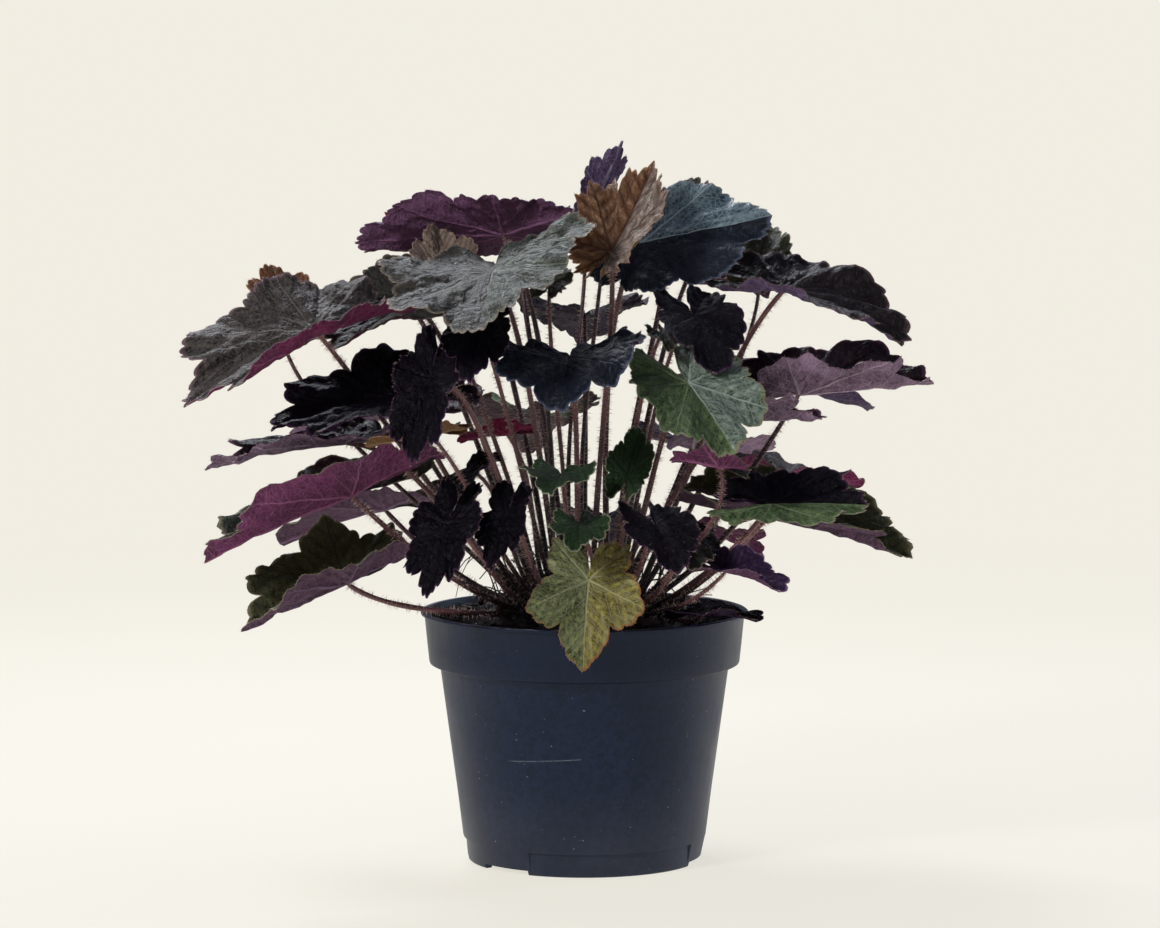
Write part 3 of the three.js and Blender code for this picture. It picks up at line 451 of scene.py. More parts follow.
class Leaf:
    """The form of one leaf: where it stands, its blade surface and its petiole's curve."""

    def __init__(self, row):
        name, at, az, el, roll, size, fold, curl, arch, wave, finish, extra = row
        self.name, self.finish, self.arch, self.wave = name, finish, arch, wave
        self.at = np.array(at, float)
        self.length, self.half = size[0], size[1] / 2
        self.fold, self.curl = np.radians(fold), np.radians(curl)
        for key, value in {**LEAF_DEFAULTS, **extra}.items():
            setattr(self, key, value)
        az, el, roll = np.radians((az, el, roll))
        self.m = np.array([np.cos(el) * np.cos(az), np.cos(el) * np.sin(az), np.sin(el)])
        level = np.array([-np.sin(az), np.cos(az), 0])
        up = np.cross(self.m, level)
        self.s = level * np.cos(roll) + up * np.sin(roll)
        self.n = up * np.cos(roll) - level * np.sin(roll)
        self.reach = (self.length + self.half) / 2  # mean radius of the blade
        self.unrest = at[0] * 0.37 + at[2] * 0.11  # keeps one leaf's margin unlike the next

    def lobe_of(self, phi):
        span = 2 * COVER / self.lobes
        place = (np.degrees(phi) + COVER) / span
        k = np.clip(np.floor(place), 0, self.lobes - 1).astype(int)
        return k, 2 * (place - k) - 1

    def outline(self, phi, fine=False):
        """Outline radius as a share of the length or half width; fine adds the small teeth."""
        around = np.abs(np.degrees(phi))
        envelope = (1 + self.heel + (1 - self.heel) * np.cos(phi)) / 2
        _, t = self.lobe_of(phi)
        half_turn = np.pi * (t + 1) / 2
        tooth, depth = np.abs(np.sin(self.teeth * half_turn)), 0.035
        if fine:
            small = 9 if self.reach > 52 else 5
            depth = np.clip(2.6 / self.reach, 0.045, 0.09)
            if self.pointed:
                coarse, small = (1 - np.abs(2 * np.mod(k * (t + 1) / 2, 1) - 1) for k in (3, 9))
                tooth, depth = 0.7 * coarse + 0.3 * small, 0.16
            else:
                tooth = 0.3 * tooth + 0.7 * np.abs(np.sin(small * half_turn)) ** 0.8
            uneven = np.sin(5 * phi + self.unrest) + np.sin(11 * phi - 2 * self.unrest)
            envelope = envelope * (1 + 0.014 * uneven)
        lobed = envelope * (1 - self.cut * np.abs(t) ** self.point) + depth * (tooth - 1) + 0.005
        edge = envelope * (1 - self.cut)
        sinus = edge + (around - COVER) / (180 - COVER) * (0.1 - edge)
        return np.where(around > COVER, sinus, lobed)

    def flat(self, phi, rho, fine=False):
        """Place on the flattened blade, along the midrib and to the left of it, mm."""
        r = self.outline(phi, fine) * rho
        return r * np.cos(phi) * self.length, r * np.sin(phi) * self.half

    def point_at(self, phi, rho, fine=False):
        """Point of the blade's middle surface, relative to the junction."""
        u, v = self.flat(phi, rho, fine)
        side = np.where(v < 0, -1.0, 1.0)
        which = (v < 0).astype(int)
        f, k = self.fold[which], self.curl[which] / self.half
        safe = np.where(np.abs(k) < 1e-9, 1e-9, k)
        turn = f + safe * np.abs(v)
        y = (np.sin(turn) - np.sin(f)) / safe
        lift = (np.cos(f) - np.cos(turn)) / safe
        ruffle = np.sin(self.lobes * phi + self.phase + 0.6 * np.sin(2 * phi))
        h = lift + self.wave * rho**2 * ruffle
        if fine:
            curl = np.sin(3 * self.lobes * phi + 2.4 * np.sin(3 * phi + self.unrest))
            slow = np.sin(1.6 * self.lobes * phi + 3 * np.sin(2 * phi - self.unrest))
            h = h + np.clip(0.03 * self.reach, 0.5, 1.8) * rho**4 * (0.3 + 0.7 * curl)
            h = h + np.clip(0.03 * self.reach, 0.4, 1.8) * rho**2 * (1.3 - rho) * slow
        droop = np.radians(self.arch) / self.length
        droop = droop if abs(droop) > 1e-9 else 1e-9
        x = np.sin(droop * u) / droop + h * np.sin(droop * u)
        z = -(1 - np.cos(droop * u)) / droop + h * np.cos(droop * u)
        return x[..., None] * self.m + (side * y)[..., None] * self.s + z[..., None] * self.n

    def stem_radius(self, t):
        """Radius of the petiole at t from the crown, 0, to the junction, 1."""
        return self.stem * (1.25 - 0.35 * t)

    def curves(self, trials):
        """Petiole control points, one row of four for each (bend, base) trial."""
        bends = np.array([b for b, _ in trials], float)
        bases = np.array([b for _, b in trials], float)
        end = self.at - 0.35 * self.n
        line = math.degrees(math.atan2(self.at[2] - BASE_Z, math.hypot(self.at[0], self.at[1])))
        az = math.atan2(self.at[1], self.at[0]) + np.radians(bases[:, 0])
        r = BASE_R * math.cos(math.radians(line)) ** 0.7 + bases[:, 1]
        base = np.stack([r * np.cos(az), r * np.sin(az), np.full(len(r), BASE_Z)], 1)
        start = math.radians(max(3, line + 20 * (line - 40) / 50))
        way = np.arctan2(self.at[1] - base[:, 1], self.at[0] - base[:, 0])
        out = math.cos(start)
        direction = np.stack(
            [out * np.cos(way), out * np.sin(way), np.full(len(r), math.sin(start))], 1
        )
        span = np.linalg.norm(self.at - base, axis=1)[:, None]
        steepness = (self.steep + bends[:, 2])[:, None]
        arrive = unit(steepness * self.n + 0.5 * self.m)
        aside = np.stack([-np.sin(way), np.cos(way), np.zeros(len(r))], 1)
        bend = aside * bends[:, :1] + np.array([0, 0, 1.0]) * bends[:, 1:2]
        first = base + direction * 0.42 * span + bend
        second = end - arrive * 0.26 * span + bend
        return np.stack([base, first, second, np.broadcast_to(end, base.shape)], 1)

    def settle(self, seen):
        """Finds which of the trials the frame's node took, from its points seen, in mm."""
        lobe = np.arange(self.lobes)
        phi = np.radians(-COVER + 2 * COVER / self.lobes * (lobe + 0.5))
        tips = self.point_at(phi, np.ones(self.lobes)) + self.at
        home = self.at.copy()
        gaps = []
        for up, along, aside in SHIFTS:
            move = up * self.n + along * self.m + aside * self.s
            far = np.linalg.norm(tips[:, None] + move - seen[None], axis=2).min(1)
            gaps.append(np.abs(far - BLADE_HALF).max())
        best = int(np.argmin(gaps))
        up, along, aside = SHIFTS[best]
        self.at = home + up * self.n + along * self.m + aside * self.s
        trials = [(bend, base) for bend in BENDS for base in BASES]
        curves = self.curves(trials)
        t = 0.44 if self.length >= 45 else 0.54  # the frame's petiole has a ring of points here
        near = np.linalg.norm(bezier(curves, t)[:, None] - seen[None], axis=2)
        spread = np.sort(near, axis=1)[:, :5]
        error = np.abs(spread - self.stem_radius(t)).max(1)
        pick = int(np.argmin(error))
        self.curve = curves[pick]
        return gaps[best], error[pick]


def bezier(curves, t):
    """Points of cubic curves; curves is (..., 4, 3)."""
    a, b, c, d = (curves[..., i, :] for i in range(4))
    s = 1 - t
    return s**3 * a + 3 * s * s * t * b + 3 * s * t * t * c + t**3 * d


def swell(u, v, rng, waves, scale):
    """Smooth random height over a flattened blade."""
    total = np.zeros_like(u)
    for _ in range(waves):
        heading, phase = rng.uniform(0, 2 * math.pi, 2)
        pitch = 2 * math.pi / (scale * rng.uniform(0.7, 1.4))
        total += np.sin(pitch * (u * math.cos(heading) + v * math.sin(heading)) + phase)
    return total / math.sqrt(waves / 2)


# side veins leave a main vein each VEIN_PITCH of the blade's radius, slanting and bowing outward
VEIN_PITCH, VEIN_SLANT, VEIN_BOW, VEIN_OFFSET, VEIN_LEAN = 0.17, 1.05, 0.4, 0.25, 0.68


def vein_gaps(along, aside, reach):
    """Distance to the lobe's main vein and to its nearest side vein, mm."""
    main = np.abs(aside)
    pitch = VEIN_PITCH * reach
    course = along - VEIN_SLANT * main - VEIN_BOW * main**2 / reach
    course = (course + VEIN_OFFSET * pitch * np.sign(aside)) / pitch + 0.5
    return main, np.abs(course - np.floor(course) - 0.5) * pitch * VEIN_LEAN


STALK, HAIR, UPPER, UNDER = range(4)  # material slots of a leaf; a second finish takes two more
MARGIN_HAIR_R, PETIOLE_HAIR_R = 0.075, 0.17
HAIR_ROOT = 0.15  # a hair starts this far under the skin


def vertex_normals(points, triangles):
    a, b, c = (points[triangles[:, i]] for i in range(3))
    facing = np.cross(b - a, c - a)
    total = np.zeros_like(points)
    for i in range(3):
        np.add.at(total, triangles[:, i], facing)
    return unit(total)


def relief(leaf, settings, rng, u, v, share, main, side):
    """Height of the flesh over a blade: raised between the veins, and gently swelling."""
    nearest = np.minimum(main, side * 1.3 + 0.15)
    puff = settings.pucker / MM * np.clip(leaf.reach / 60, 0.35, 1.15)
    height = puff * (1 - np.exp(-((nearest / (0.055 * leaf.reach)) ** 1.5)))
    height *= np.clip(share * 4, 0, 1) * (1 - 0.35 * share**4)
    size = np.clip(leaf.reach / 60, 0.3, 1)
    height += 0.75 * size * share * swell(u, v, rng, 7, 0.36 * leaf.reach)
    height += 0.26 * size * swell(u, v, rng, 9, 0.16 * leaf.reach) * np.clip(share * 3, 0, 1)
    height += 0.13 * swell(u, v, rng, 9, 5.0) * np.clip(share * 3, 0, 1)
    return height - puff * 0.5


def blade(shell, leaf, settings, rng):
    """Upper and under side of a leaf with teeth, sunken veins and raised flesh between them."""
    # columns in each lobe, and rings from the junction to the margin
    if leaf.fine == 2:
        columns, rows = 45, 25
    elif leaf.lobes == 7:
        columns, rows = 30, 19
    else:
        columns, rows = (30, 14) if leaf.reach > 34 else (20, 11)
    span = 2 * COVER / leaf.lobes
    lobed = [-COVER + span * (k + c / columns) for k in range(leaf.lobes) for c in range(columns)]
    sinus = np.linspace(COVER, 180, 5)
    phi = np.radians(np.concatenate([-sinus[::-1][:-1], lobed, [COVER], sinus[1:-1]]))
    n = len(phi)
    rho = (np.arange(1, rows + 1) / rows) ** 0.9
    grid_phi, grid_rho = np.meshgrid(phi, rho)
    points = np.vstack([np.zeros((1, 3)), leaf.point_at(grid_phi, grid_rho, True).reshape(-1, 3)])
    u, v = (np.append(0, part) for part in leaf.flat(grid_phi, grid_rho, True))
    share = np.append(0, grid_rho)
    tris = 1 + np.stack([np.full(n, -1), np.arange(n), (np.arange(n) + 1) % n]).T
    quads = np.roll(1 + lathe_faces(rows, n)[:, ::-1], 1, axis=1)
    triangles = np.vstack([tris, quads[:, :3], quads[:, [0, 2, 3]]])

    middles = np.radians(-COVER + span * (np.arange(leaf.lobes) + 0.5))
    heads = unit(np.stack([np.cos(middles) * leaf.length, np.sin(middles) * leaf.half], 1))
    head = heads[np.append(0, leaf.lobe_of(grid_phi)[0])]
    along = u * head[:, 0] + v * head[:, 1]
    aside = -u * head[:, 1] + v * head[:, 0]
    main, side = vein_gaps(along, aside, leaf.reach)
    height = relief(leaf, settings, rng, u, v, share, main, side)
    points = points + vertex_normals(points, triangles) * height[:, None]
    n_out = vertex_normals(points, triangles)
    thick = (settings.thickness / MM / 2) * (1 - 0.5 * share)
    main_rib = np.clip(1 - main / (0.5 + 1.3 * (1 - share)), 0, 1) * (1 - 0.75 * share)
    side_rib = np.clip(1 - side / 0.7, 0, 1) * (1 - share) * np.clip(share * 5, 0, 1)
    rib = 0.75 * main_rib + 0.28 * side_rib
    upper = points + n_out * thick[:, None] + leaf.at
    lower = points - n_out * (thick + rib)[:, None] + leaf.at

    drift = rng.uniform(-3000, 3000, 2)
    face_phi = phi + np.radians(0.01)
    column_lobe = leaf.lobe_of(face_phi)[0]
    column_lobe[: len(sinus) - 1] = 0

    def corner_numbers(faces, lobes):
        """Each corner's place beside its lobe's main vein, and its place on the flat blade."""
        h = heads[lobes][:, None, :]
        fu, fv = u[faces], v[faces]
        veins = [-fu * h[..., 1] + fv * h[..., 0], fu * h[..., 0] + fv * h[..., 1]]
        veins.append(np.full(faces.shape, leaf.reach))
        sheets = [fu + drift[0], fv + drift[1], share[faces]]
        return np.stack(veins, -1), np.stack(sheets, -1)

    half = np.where(face_phi > 0, 0, 2 if "/" in leaf.finish else 0)
    quad_lobes, halves = np.tile(column_lobe, rows - 1), np.tile(half, rows - 1)
    first = shell.add(np.vstack([upper, lower]), [], UPPER)
    for start, side_paint, order in ((0, UPPER, 1), (len(points), UNDER, -1)):
        for faces, lobes, part in ((tris, column_lobe, half), (quads, quad_lobes, halves)):
            faces = faces[:, ::order]
            numbers = corner_numbers(faces, lobes)
            shell.link(first, faces + start, side_paint + part, *numbers)
    i = 1 + (rows - 1) * n + np.arange(n)
    k = np.roll(i, -1)
    numbers = corner_numbers(np.stack([i, i, k, k]).T, column_lobe)
    rim = np.stack([i, i + len(points), k + len(points), k]).T
    shell.link(first, rim, UPPER + half, *numbers)

    edge = np.linalg.norm(upper[k] - upper[i], axis=1).sum()
    count = int(edge * settings.margin_hairs_per_mm)
    pick = rng.integers(0, n, count)
    slide = rng.uniform(0, 1, (count, 1))
    root = upper[i[pick]] * (1 - slide) + upper[k[pick]] * slide
    out = unit(root - leaf.at) + 0.5 * n_out[i[pick]] * rng.uniform(-1, 1.4, (count, 1))
    out += rng.normal(0, 0.25, (count, 3))
    lengths = settings.hair_length / MM * rng.uniform(0.25, 0.6, count)
    bristles(shell, root, out, lengths, MARGIN_HAIR_R, rng)


def bristles(shell, roots, headings, lengths, radius, rng):
    """Closed three-sided hairs."""
    count = len(roots)
    headings = unit(headings)
    spare = unit(np.cross(headings, unit(rng.normal(size=(count, 3)))))
    other = np.cross(headings, spare)
    foot = roots - headings * HAIR_ROOT
    corners = []
    for k in range(3):
        a = 2 * math.pi * k / 3
        corners.append(foot + radius * (spare * math.cos(a) + other * math.sin(a)))
    corners.append(roots + headings * lengths[:, None])
    step = 4 * np.arange(count)[:, None]
    faces = np.vstack([step + np.array(f) for f in ((0, 1, 3), (1, 2, 3), (2, 0, 3), (0, 2, 1))])
    shell.add(np.stack(corners, 1).reshape(-1, 3), faces, HAIR)


def petiole(shell, leaf, settings, rng):
    """The bristly stalk from the crown to the blade."""
    span = np.linalg.norm(leaf.curve[3] - leaf.curve[0])
    steps, sides = max(16, int(span / 4)), 9
    t = np.linspace(0, 1, steps)
    path = bezier(leaf.curve[None], t[:, None])
    radii = leaf.stem_radius(t) * (1 + 0.05 * np.sin(23 * t + rng.uniform(0, 6)))
    radii[-1] *= 0.6
    points, walls, caps, tangents = tube(path, radii, sides)
    place = np.concatenate([np.repeat(t, sides), [0, 1]])
    around = np.concatenate([np.tile(np.arange(sides) / sides, steps), [0, 0]])
    drift = rng.uniform(-3000, 3000)

    def sheets(faces):
        return np.stack([place[faces] * span + drift, around[faces] * 8, place[faces]], -1)

    first = shell.add(points, walls, STALK, None, sheets(walls))
    shell.link(first, caps, STALK, None, sheets(caps))
    in_front = leaf.at[1] < 0
    count = int(span * settings.hairs_per_mm * (1 if in_front else 0.5))
    t = rng.uniform(0.12, 0.99, count)
    index = np.clip((t * (steps - 1)).astype(int), 0, steps - 2)
    part = (t * (steps - 1) - index)[:, None]
    centre = path[index] * (1 - part) + path[index + 1] * part
    forward = tangents[index]
    spin = unit(rng.normal(size=(count, 3)))
    out = unit(spin - forward * (spin * forward).sum(1)[:, None])
    lean = rng.uniform(-0.35, 0.45, count)[:, None]
    heading = out + forward * lean + 0.12 * rng.normal(size=(count, 3))
    lengths = settings.hair_length / MM * rng.uniform(0.5, 1.15, count)
    root = centre + out * leaf.stem_radius(t)[:, None] * 0.9
    bristles(shell, root, heading, lengths, PETIOLE_HAIR_R, rng)


def vein_masks(tree):
    """Main, side and net veins and lengthwise creases from the corner numbers of a blade."""
    vein = wire(tree, "ShaderNodeAttribute", output="Vector", attribute_name="vein")
    sheet = wire(tree, "ShaderNodeAttribute", output="Vector", attribute_name="sheet")
    aside, along, reach = split(vein)
    u, v, rho = split(sheet)
    flat = join(u, v)
    drift = (noise(flat, 0.16, 2) - 0.5) * 2.2
    taper = 1.15 - rho
    main = rise(abs(aside + drift * 0.4) / (0.18 + taper * 0.62), 1.2, 0.45)
    pitch = reach * VEIN_PITCH
    gap = abs(aside)
    course = along - gap * VEIN_SLANT - gap * gap / reach * VEIN_BOW
    course = course + aside.sign() * (pitch * VEIN_OFFSET) + drift
    gap = abs((course / pitch + 0.5).fraction() - 0.5) * pitch * VEIN_LEAN
    side = rise(gap / (0.14 + taper * 0.22), 1.2, 0.4)
    net = rise(cells(flat, 0.42), 0.16, 0.02)
    drawn = join(aside, along * 0.13, u * 0.03)
    crease = rise(noise(drawn, 0.42, 4, 0.6), 0.42, 0.66)
    return main, side, net, gap, crease, rho, flat


def blade_side(tree, finish, under):
    """Shader of one side of a leaf in one of the finishes."""
    flesh, shade, vein, edge, below, below_vein, through = map(paint, FINISHES[finish][:7])
    share, rough = FINISHES[finish][7:]
    main, side, net, gap, crease, rho, flat = vein_masks(tree)
    tone = rise(noise(plain_place(tree), 14, 2), 0.3, 0.7)
    mottle = rise(noise(flat, 0.11, 4, 0.6), 0.35, 0.66)
    fine = noise(flat, 0.9, 3)
    puff = rise(cells(flat, 0.24), 0.0, 0.42)
    if under:
        patch = rise(noise(flat, 0.045, 3, 0.6), 0.4, 0.68)
        dusk = paint("1c1626" if finish == "ink" else "4c4050")
        colour = coats(below, (mottle * 0.35, shade), (patch * 0.5, dusk))
        colour = coats(colour, (net * 0.35, below_vein), (side * 0.7, below_vein))
        colour = coats(colour, (main, below_vein))
    else:
        # painted shade: the shade colour lies beside the sunken side veins and in the creases between the
        # puckers, partly the leaf's own darker vein zones; the flesh colour lies on the raised flesh
        near = rise(gap, 0.2, 2.4) * rise(puff, 0.0, 0.7, 0.45, 1)
        patch = rise(noise(flat, 0.05, 4, 0.65), 0.44, 0.62, 0, 0.6)
        colour = coats(shade, (near, flesh), (patch.or_more(mottle * 0.45), shade))
        # darker towards the heart: partly the leaf's own darker centre, partly painted shade from leaves
        # above
        colour = coats(colour, (rise(rho, 0.6, 0.1, 0.0, 0.5), shade))
        colour = coats(colour, (crease * 0.42, vein), (net * 0.3, vein))
        colour = coats(colour, (side * 0.5, vein), (main * 0.75, vein))
        fleck = rise(noise(flat, 2.4, 2), 0.56, 0.7, 0, 0.3)
        colour = coats(colour, (fleck, edge), (rise(rho, 0.95, 1.0, 0, 0.85), edge))
    colour = coats(colour, (tone * 0.35, paint("000000")))
    rib = main.or_more(side * 0.7).or_more(net * 0.4)
    up = -1 if under else 1  # what stands up on the upper side is sunken in the under side
    height = rib * (-0.8 * up) + puff * (0.9 * up) + crease * (0.8 * up) + fine * 0.5
    normal = bump(height, 0.8, 0.0007)
    rougher = 0.12 if under else 0.0
    gloss = rise(fine, 0.3, 0.75, rough - 0.12 + rougher, rough + 0.1 + rougher)
    matt = under or finish == "ink"
    shine = 0.08 if under else 0.13 if matt else 0.2
    more = {
        "Normal": normal, "Specular IOR Level": shine, "Sheen Weight": 0.0 if matt else 0.04,
        "Sheen Roughness": 0.4, "Sheen Tint": (0.85, 0.8, 0.9, 1),
    }
    lit = blend(rib * 0.5, through, shade)
    return thin(body(colour, gloss, more), share, {"Color": lit, "Normal": normal})


def petiole_skin(tree, foot, top):
    """Stalk with pale streaks of painted highlight, dark at the foot."""
    foot, top = paint(foot), paint(top)
    along, around, t = split(
        wire(tree, "ShaderNodeAttribute", output="Vector", attribute_name="sheet")
    )
    streak = noise(join(along * 0.12, around), 1.6, 4)
    tone = rise(noise(plain_place(tree), 16, 2), 0.35, 0.66)
    colour = coats(foot, (rise(t, 0.1, 0.6), top), (tone * 0.5, foot))
    # pale streaks along the stalk: painted highlights
    colour = coats(colour, (rise(streak, 0.5, 0.78, 0, 0.55), paint("94766a")))
    gloss = rise(streak, 0.3, 0.7, 0.36, 0.52)
    return body(colour, gloss, {"Normal": bump(streak, 0.4, 0.0004)})


def bristle_skin(tree):
    """Pale hair that lets light through."""
    tone = noise(plain_place(tree), 60, 2)
    colour = blend(rise(tone, 0.35, 0.65), paint("c4a298"), paint("ecd8cc"))
    return thin(body(colour, 0.5, {}), 0.35, {"Color": colour})


# ---- pot ---------------------------------------------------------------------------------------
LIP_R, FOOT_R, FLOOR_Z = 85, 58.5, 4.6
FOOT_PANELS = 3
PANEL_SPAN, PANEL_TURN = 88, -13  # degrees
PANEL_R, PANEL_TOP, WALL_SLOPE = 60.68, 12.2, 0.083
NOTCH_HALF_WIDTH, NOTCH_TOP = 14.6, 2.4
NOTCHED = (56, 60.8)  # the foot's ridge, between these radii, is cut by the drain notches
DRAIN_HOLES, HOLE_TURN, HOLE_PLACE_R, HOLE_R = 6, 15, 40, 5
POT_PROFILE = [
    (11.4, 0), (12, 0.6), (12, 2.4), (12.6, 3), (56, 3), (56.5, 2.5), (56.5, 0.5), (57, 0),
    (59.7, 0), (60.3, 0.5), (60.7, 2.39), (60.75, 2.41), (62.84, 12.15), (62.86, 12.25),
    (63.2, 13.3), (66, 36), (69, 57.9), (72, 79.9), (74.8, 100.4), (75.2, 101.6), (76, 102.2),
    (79.5, 102.7), (80.2, 103.1), (80.55, 103.9), (81.4, 112), (82.9, 127.2), (83.2, 128),
    (84.2, 128.25), (84.8, 128.5), (85, 129), (84.9, 129.6), (84.4, 129.95), (83.6, 130),
    (82.3, 130), (81.9, 129.7), (81.6, 128.8), (79.3, 105.6), (78.6, 104.4), (74.2, 102.9),
    (73.5, 102), (61.7, 14.2), (59.2, 5.6), (58.5, 4.7),
]


def pot_shell(settings):
    """The pot as a turned profile, with recessed panels and drain notches worked into its foot."""
    notch = math.degrees(math.asin(NOTCH_HALF_WIDTH / FOOT_R))
    notches = [PANEL_TURN + 360 / FOOT_PANELS * k for k in range(FOOT_PANELS)]
    panels = [middle + 180 / FOOT_PANELS for middle in notches]
    edges = [m + s * (PANEL_SPAN / 2 + d) for m in panels for s in (-1, 1) for d in (-0.15, 0.15)]
    edges += [m + s * (notch + d) for m in notches for s in (-1, 1) for d in (-0.25, 0.25)]
    even = np.linspace(0, 360, 144, endpoint=False)
    angles = np.unique(np.round(np.concatenate([even, np.mod(edges, 360)]), 4))
    angles = angles[np.append(True, np.diff(angles) > 0.12)]

    def within(middles, half):
        off = (angles[:, None] - middles + 180) % 360 - 180
        return (np.abs(off) < half).any(1)

    on_panel, on_notch = within(panels, PANEL_SPAN / 2), within(notches, notch)
    scale = settings.rim_radius / MM / LIP_R
    rings = []
    for r, z in POT_PROFILE:
        radius, height = np.full(len(angles), float(r)), float(z)
        if r > FOOT_R + 0.5 and z < PANEL_TOP:
            radius = np.where(on_panel, np.minimum(r, PANEL_R + WALL_SLOPE * z), radius)
        if NOTCHED[0] < r < NOTCHED[1] and z <= NOTCH_TOP:
            height = np.where(on_notch, NOTCH_TOP, height)
        rings.append(ring(radius * scale, np.radians(angles), height))
    return turned_solid(rings, (0, 0, 0), (0, 0, FLOOR_Z))


def drill_holes(made, context):
    """Cuts the drain holes through the pot's floor."""
    drill = Shell()
    for k in range(DRAIN_HOLES):
        a = math.radians(HOLE_TURN + 360 / DRAIN_HOLES * k)
        x, y = HOLE_PLACE_R * math.cos(a), HOLE_PLACE_R * math.sin(a)
        path = [(x, y, z) for z in (1.5, 3, FLOOR_Z, 6)]
        drill.add_solid(*tube(path, [HOLE_R] * len(path), 24)[:3], 0)
    cutter = drill.piece("drill", [])
    holes = made.modifiers.new("drain holes", "BOOLEAN")
    holes.object, holes.operation, holes.solver = cutter, "DIFFERENCE", "EXACT"
    context.view_layer.update()
    cut = bpy.data.meshes.new_from_object(made.evaluated_get(context.evaluated_depsgraph_get()))
    made.modifiers.clear()
    made.data = cut
    bpy.data.objects.remove(cutter)


def pot_plastic(tree, settings):
    """Moulded plastic with mottling, painted shade at the lip, dust at the foot, specks and one long scratch
    in front.
    """
    place = plain_place(tree)
    x, y, z = split(place)
    cloud = noise(place, 24, 4)
    grain = noise(place, 1400, 3)
    speck = rise(noise(place, 620, 1), 0.765, 0.81)
    mottle = rise(noise(place, 280, 5, 0.7), 0.4, 0.64)
    drawn = wire(tree, "ShaderNodeMapping", {"Vector": place, "Scale": (1, 1, 0.03)})
    streak = noise(drawn, 420, 3)
    scratch = rise(abs(z - x * 0.07 - 0.0625), 0.0004, 0.00015)
    for low, high in ((-0.041, -0.034), (0.0, -0.004)):
        scratch = scratch * rise(x, low, high)
    scratch = scratch * rise(y, 0.0, -0.01) * rise(grain, 0.3, 0.6)
    # the colour darkens towards the lip: painted shade; dust lightens the foot
    lip, dust = rise(z, 0.098, 0.106, 0, 0.45), rise(z, 0.06, 0.0, 0, 0.25)
    colour = blend(rise(cloud, 0.35, 0.7), settings.plastic, settings.plastic_worn)
    colour = coats(colour, (mottle * 0.6, paint("090c18")), (lip, paint("0a0d20")))
    colour = coats(colour, (dust * cloud, paint("6c6c70")), (speck * 0.45, paint("a5a6a8")))
    colour = coats(colour, (scratch * 0.5, paint("7d8290")))
    normal = bump(grain * 0.25 + streak * 0.5, 0.12, 0.0004)
    gloss = rise(cloud + streak * 0.3, 0.4, 0.9, 0.36, 0.5)
    tint = (0.62, 0.76, 1, 1)
    more = {"Normal": normal, "Specular IOR Level": 0.34, "Specular Tint": tint}
    return body(colour, gloss, more)


# ---- soil and crown ----------------------------------------------------------------------------
SOIL_Z, CROWN_Z, CROWN_R, CROWN_RISE = 123.6, 126, 54, 14
SOIL_FEET = ((58.2, 5.2), (61.2, 14.2), (73.1, 102.4), (78.3, 105.2))
CROWN_FEET = ((30, 112.2), (44, 117.4), (53.6, 122.4))
SOIL_LIMIT_R = 79.5  # roots keep inside the pot's wall
STALK_LIMIT_R = 78


def soil_height(x, y):
    mound = 5 * np.exp(-((x + 30) ** 2 + (y - 20) ** 2) / 3200)
    lumps = 0.9 * np.sin(0.31 * x + 1.3) * np.cos(0.27 * y) + 0.6 * np.sin(0.53 * y - 0.41 * x)
    return SOIL_Z + mound + lumps


def crown_height(r, a):
    lumps = np.sin(5 * a + 0.12 * r) + 0.7 * np.sin(8 * a - 0.2 * r)
    dome = CROWN_RISE * (1 - (r / CROWN_R) ** 2)
    return CROWN_Z + dome + 0.9 * lumps * np.minimum(1, r / 20)


def rubble(x, y, phases, heads, pitch, step):
    """Mean of folded waves of rising pitch, which looks like crumbs and knobs."""
    total = np.zeros_like(x)
    for k, (phase, head) in enumerate(zip(phases, heads)):
        turn = (pitch + step * k) * (x * np.cos(head) + y * np.sin(head))
        total += np.abs(np.sin(turn + phase))
    return total / len(phases)


def soil_shell(rng):
    a = np.arange(220) * 2 * math.pi / 220
    rings = [ring(r, a, z) for r, z in SOIL_FEET]
    phases, heads = rng.uniform(0, 6.28, 24), rng.uniform(0, 6.28, 24)
    for r in np.concatenate([[80.6, 80.3], np.linspace(79.4, 50, 34)]):
        x, y = r * np.cos(a), r * np.sin(a)
        crumbs = (rubble(x, y, phases, heads, 0.7, 0.11) - 0.62) * 6.5 * (r < 80.4)
        rings.append(ring(r, a, soil_height(x, y) + crumbs - 0.4))
    return turned_solid(rings, (0, 0, SOIL_FEET[0][1]), (0, 0, 121.5))


def crown_shell(rng):
    a = np.arange(120) * 2 * math.pi / 120
    rings = [ring(r, a, z) for r, z in CROWN_FEET]
    phases, heads = rng.uniform(0, 6.28, 20), rng.uniform(0, 6.28, 20)
    for r in np.concatenate([[53.8], np.linspace(53, 2, 34)]):
        knobs = rubble(r * np.cos(a), r * np.sin(a), phases, heads, 0.45, 0.09)
        rings.append(ring(r, a, crown_height(r, a) + (knobs - 0.66) * 8))
    return turned_solid(rings, (0, 0, CROWN_FEET[0][1]), (0, 0, 139.6))


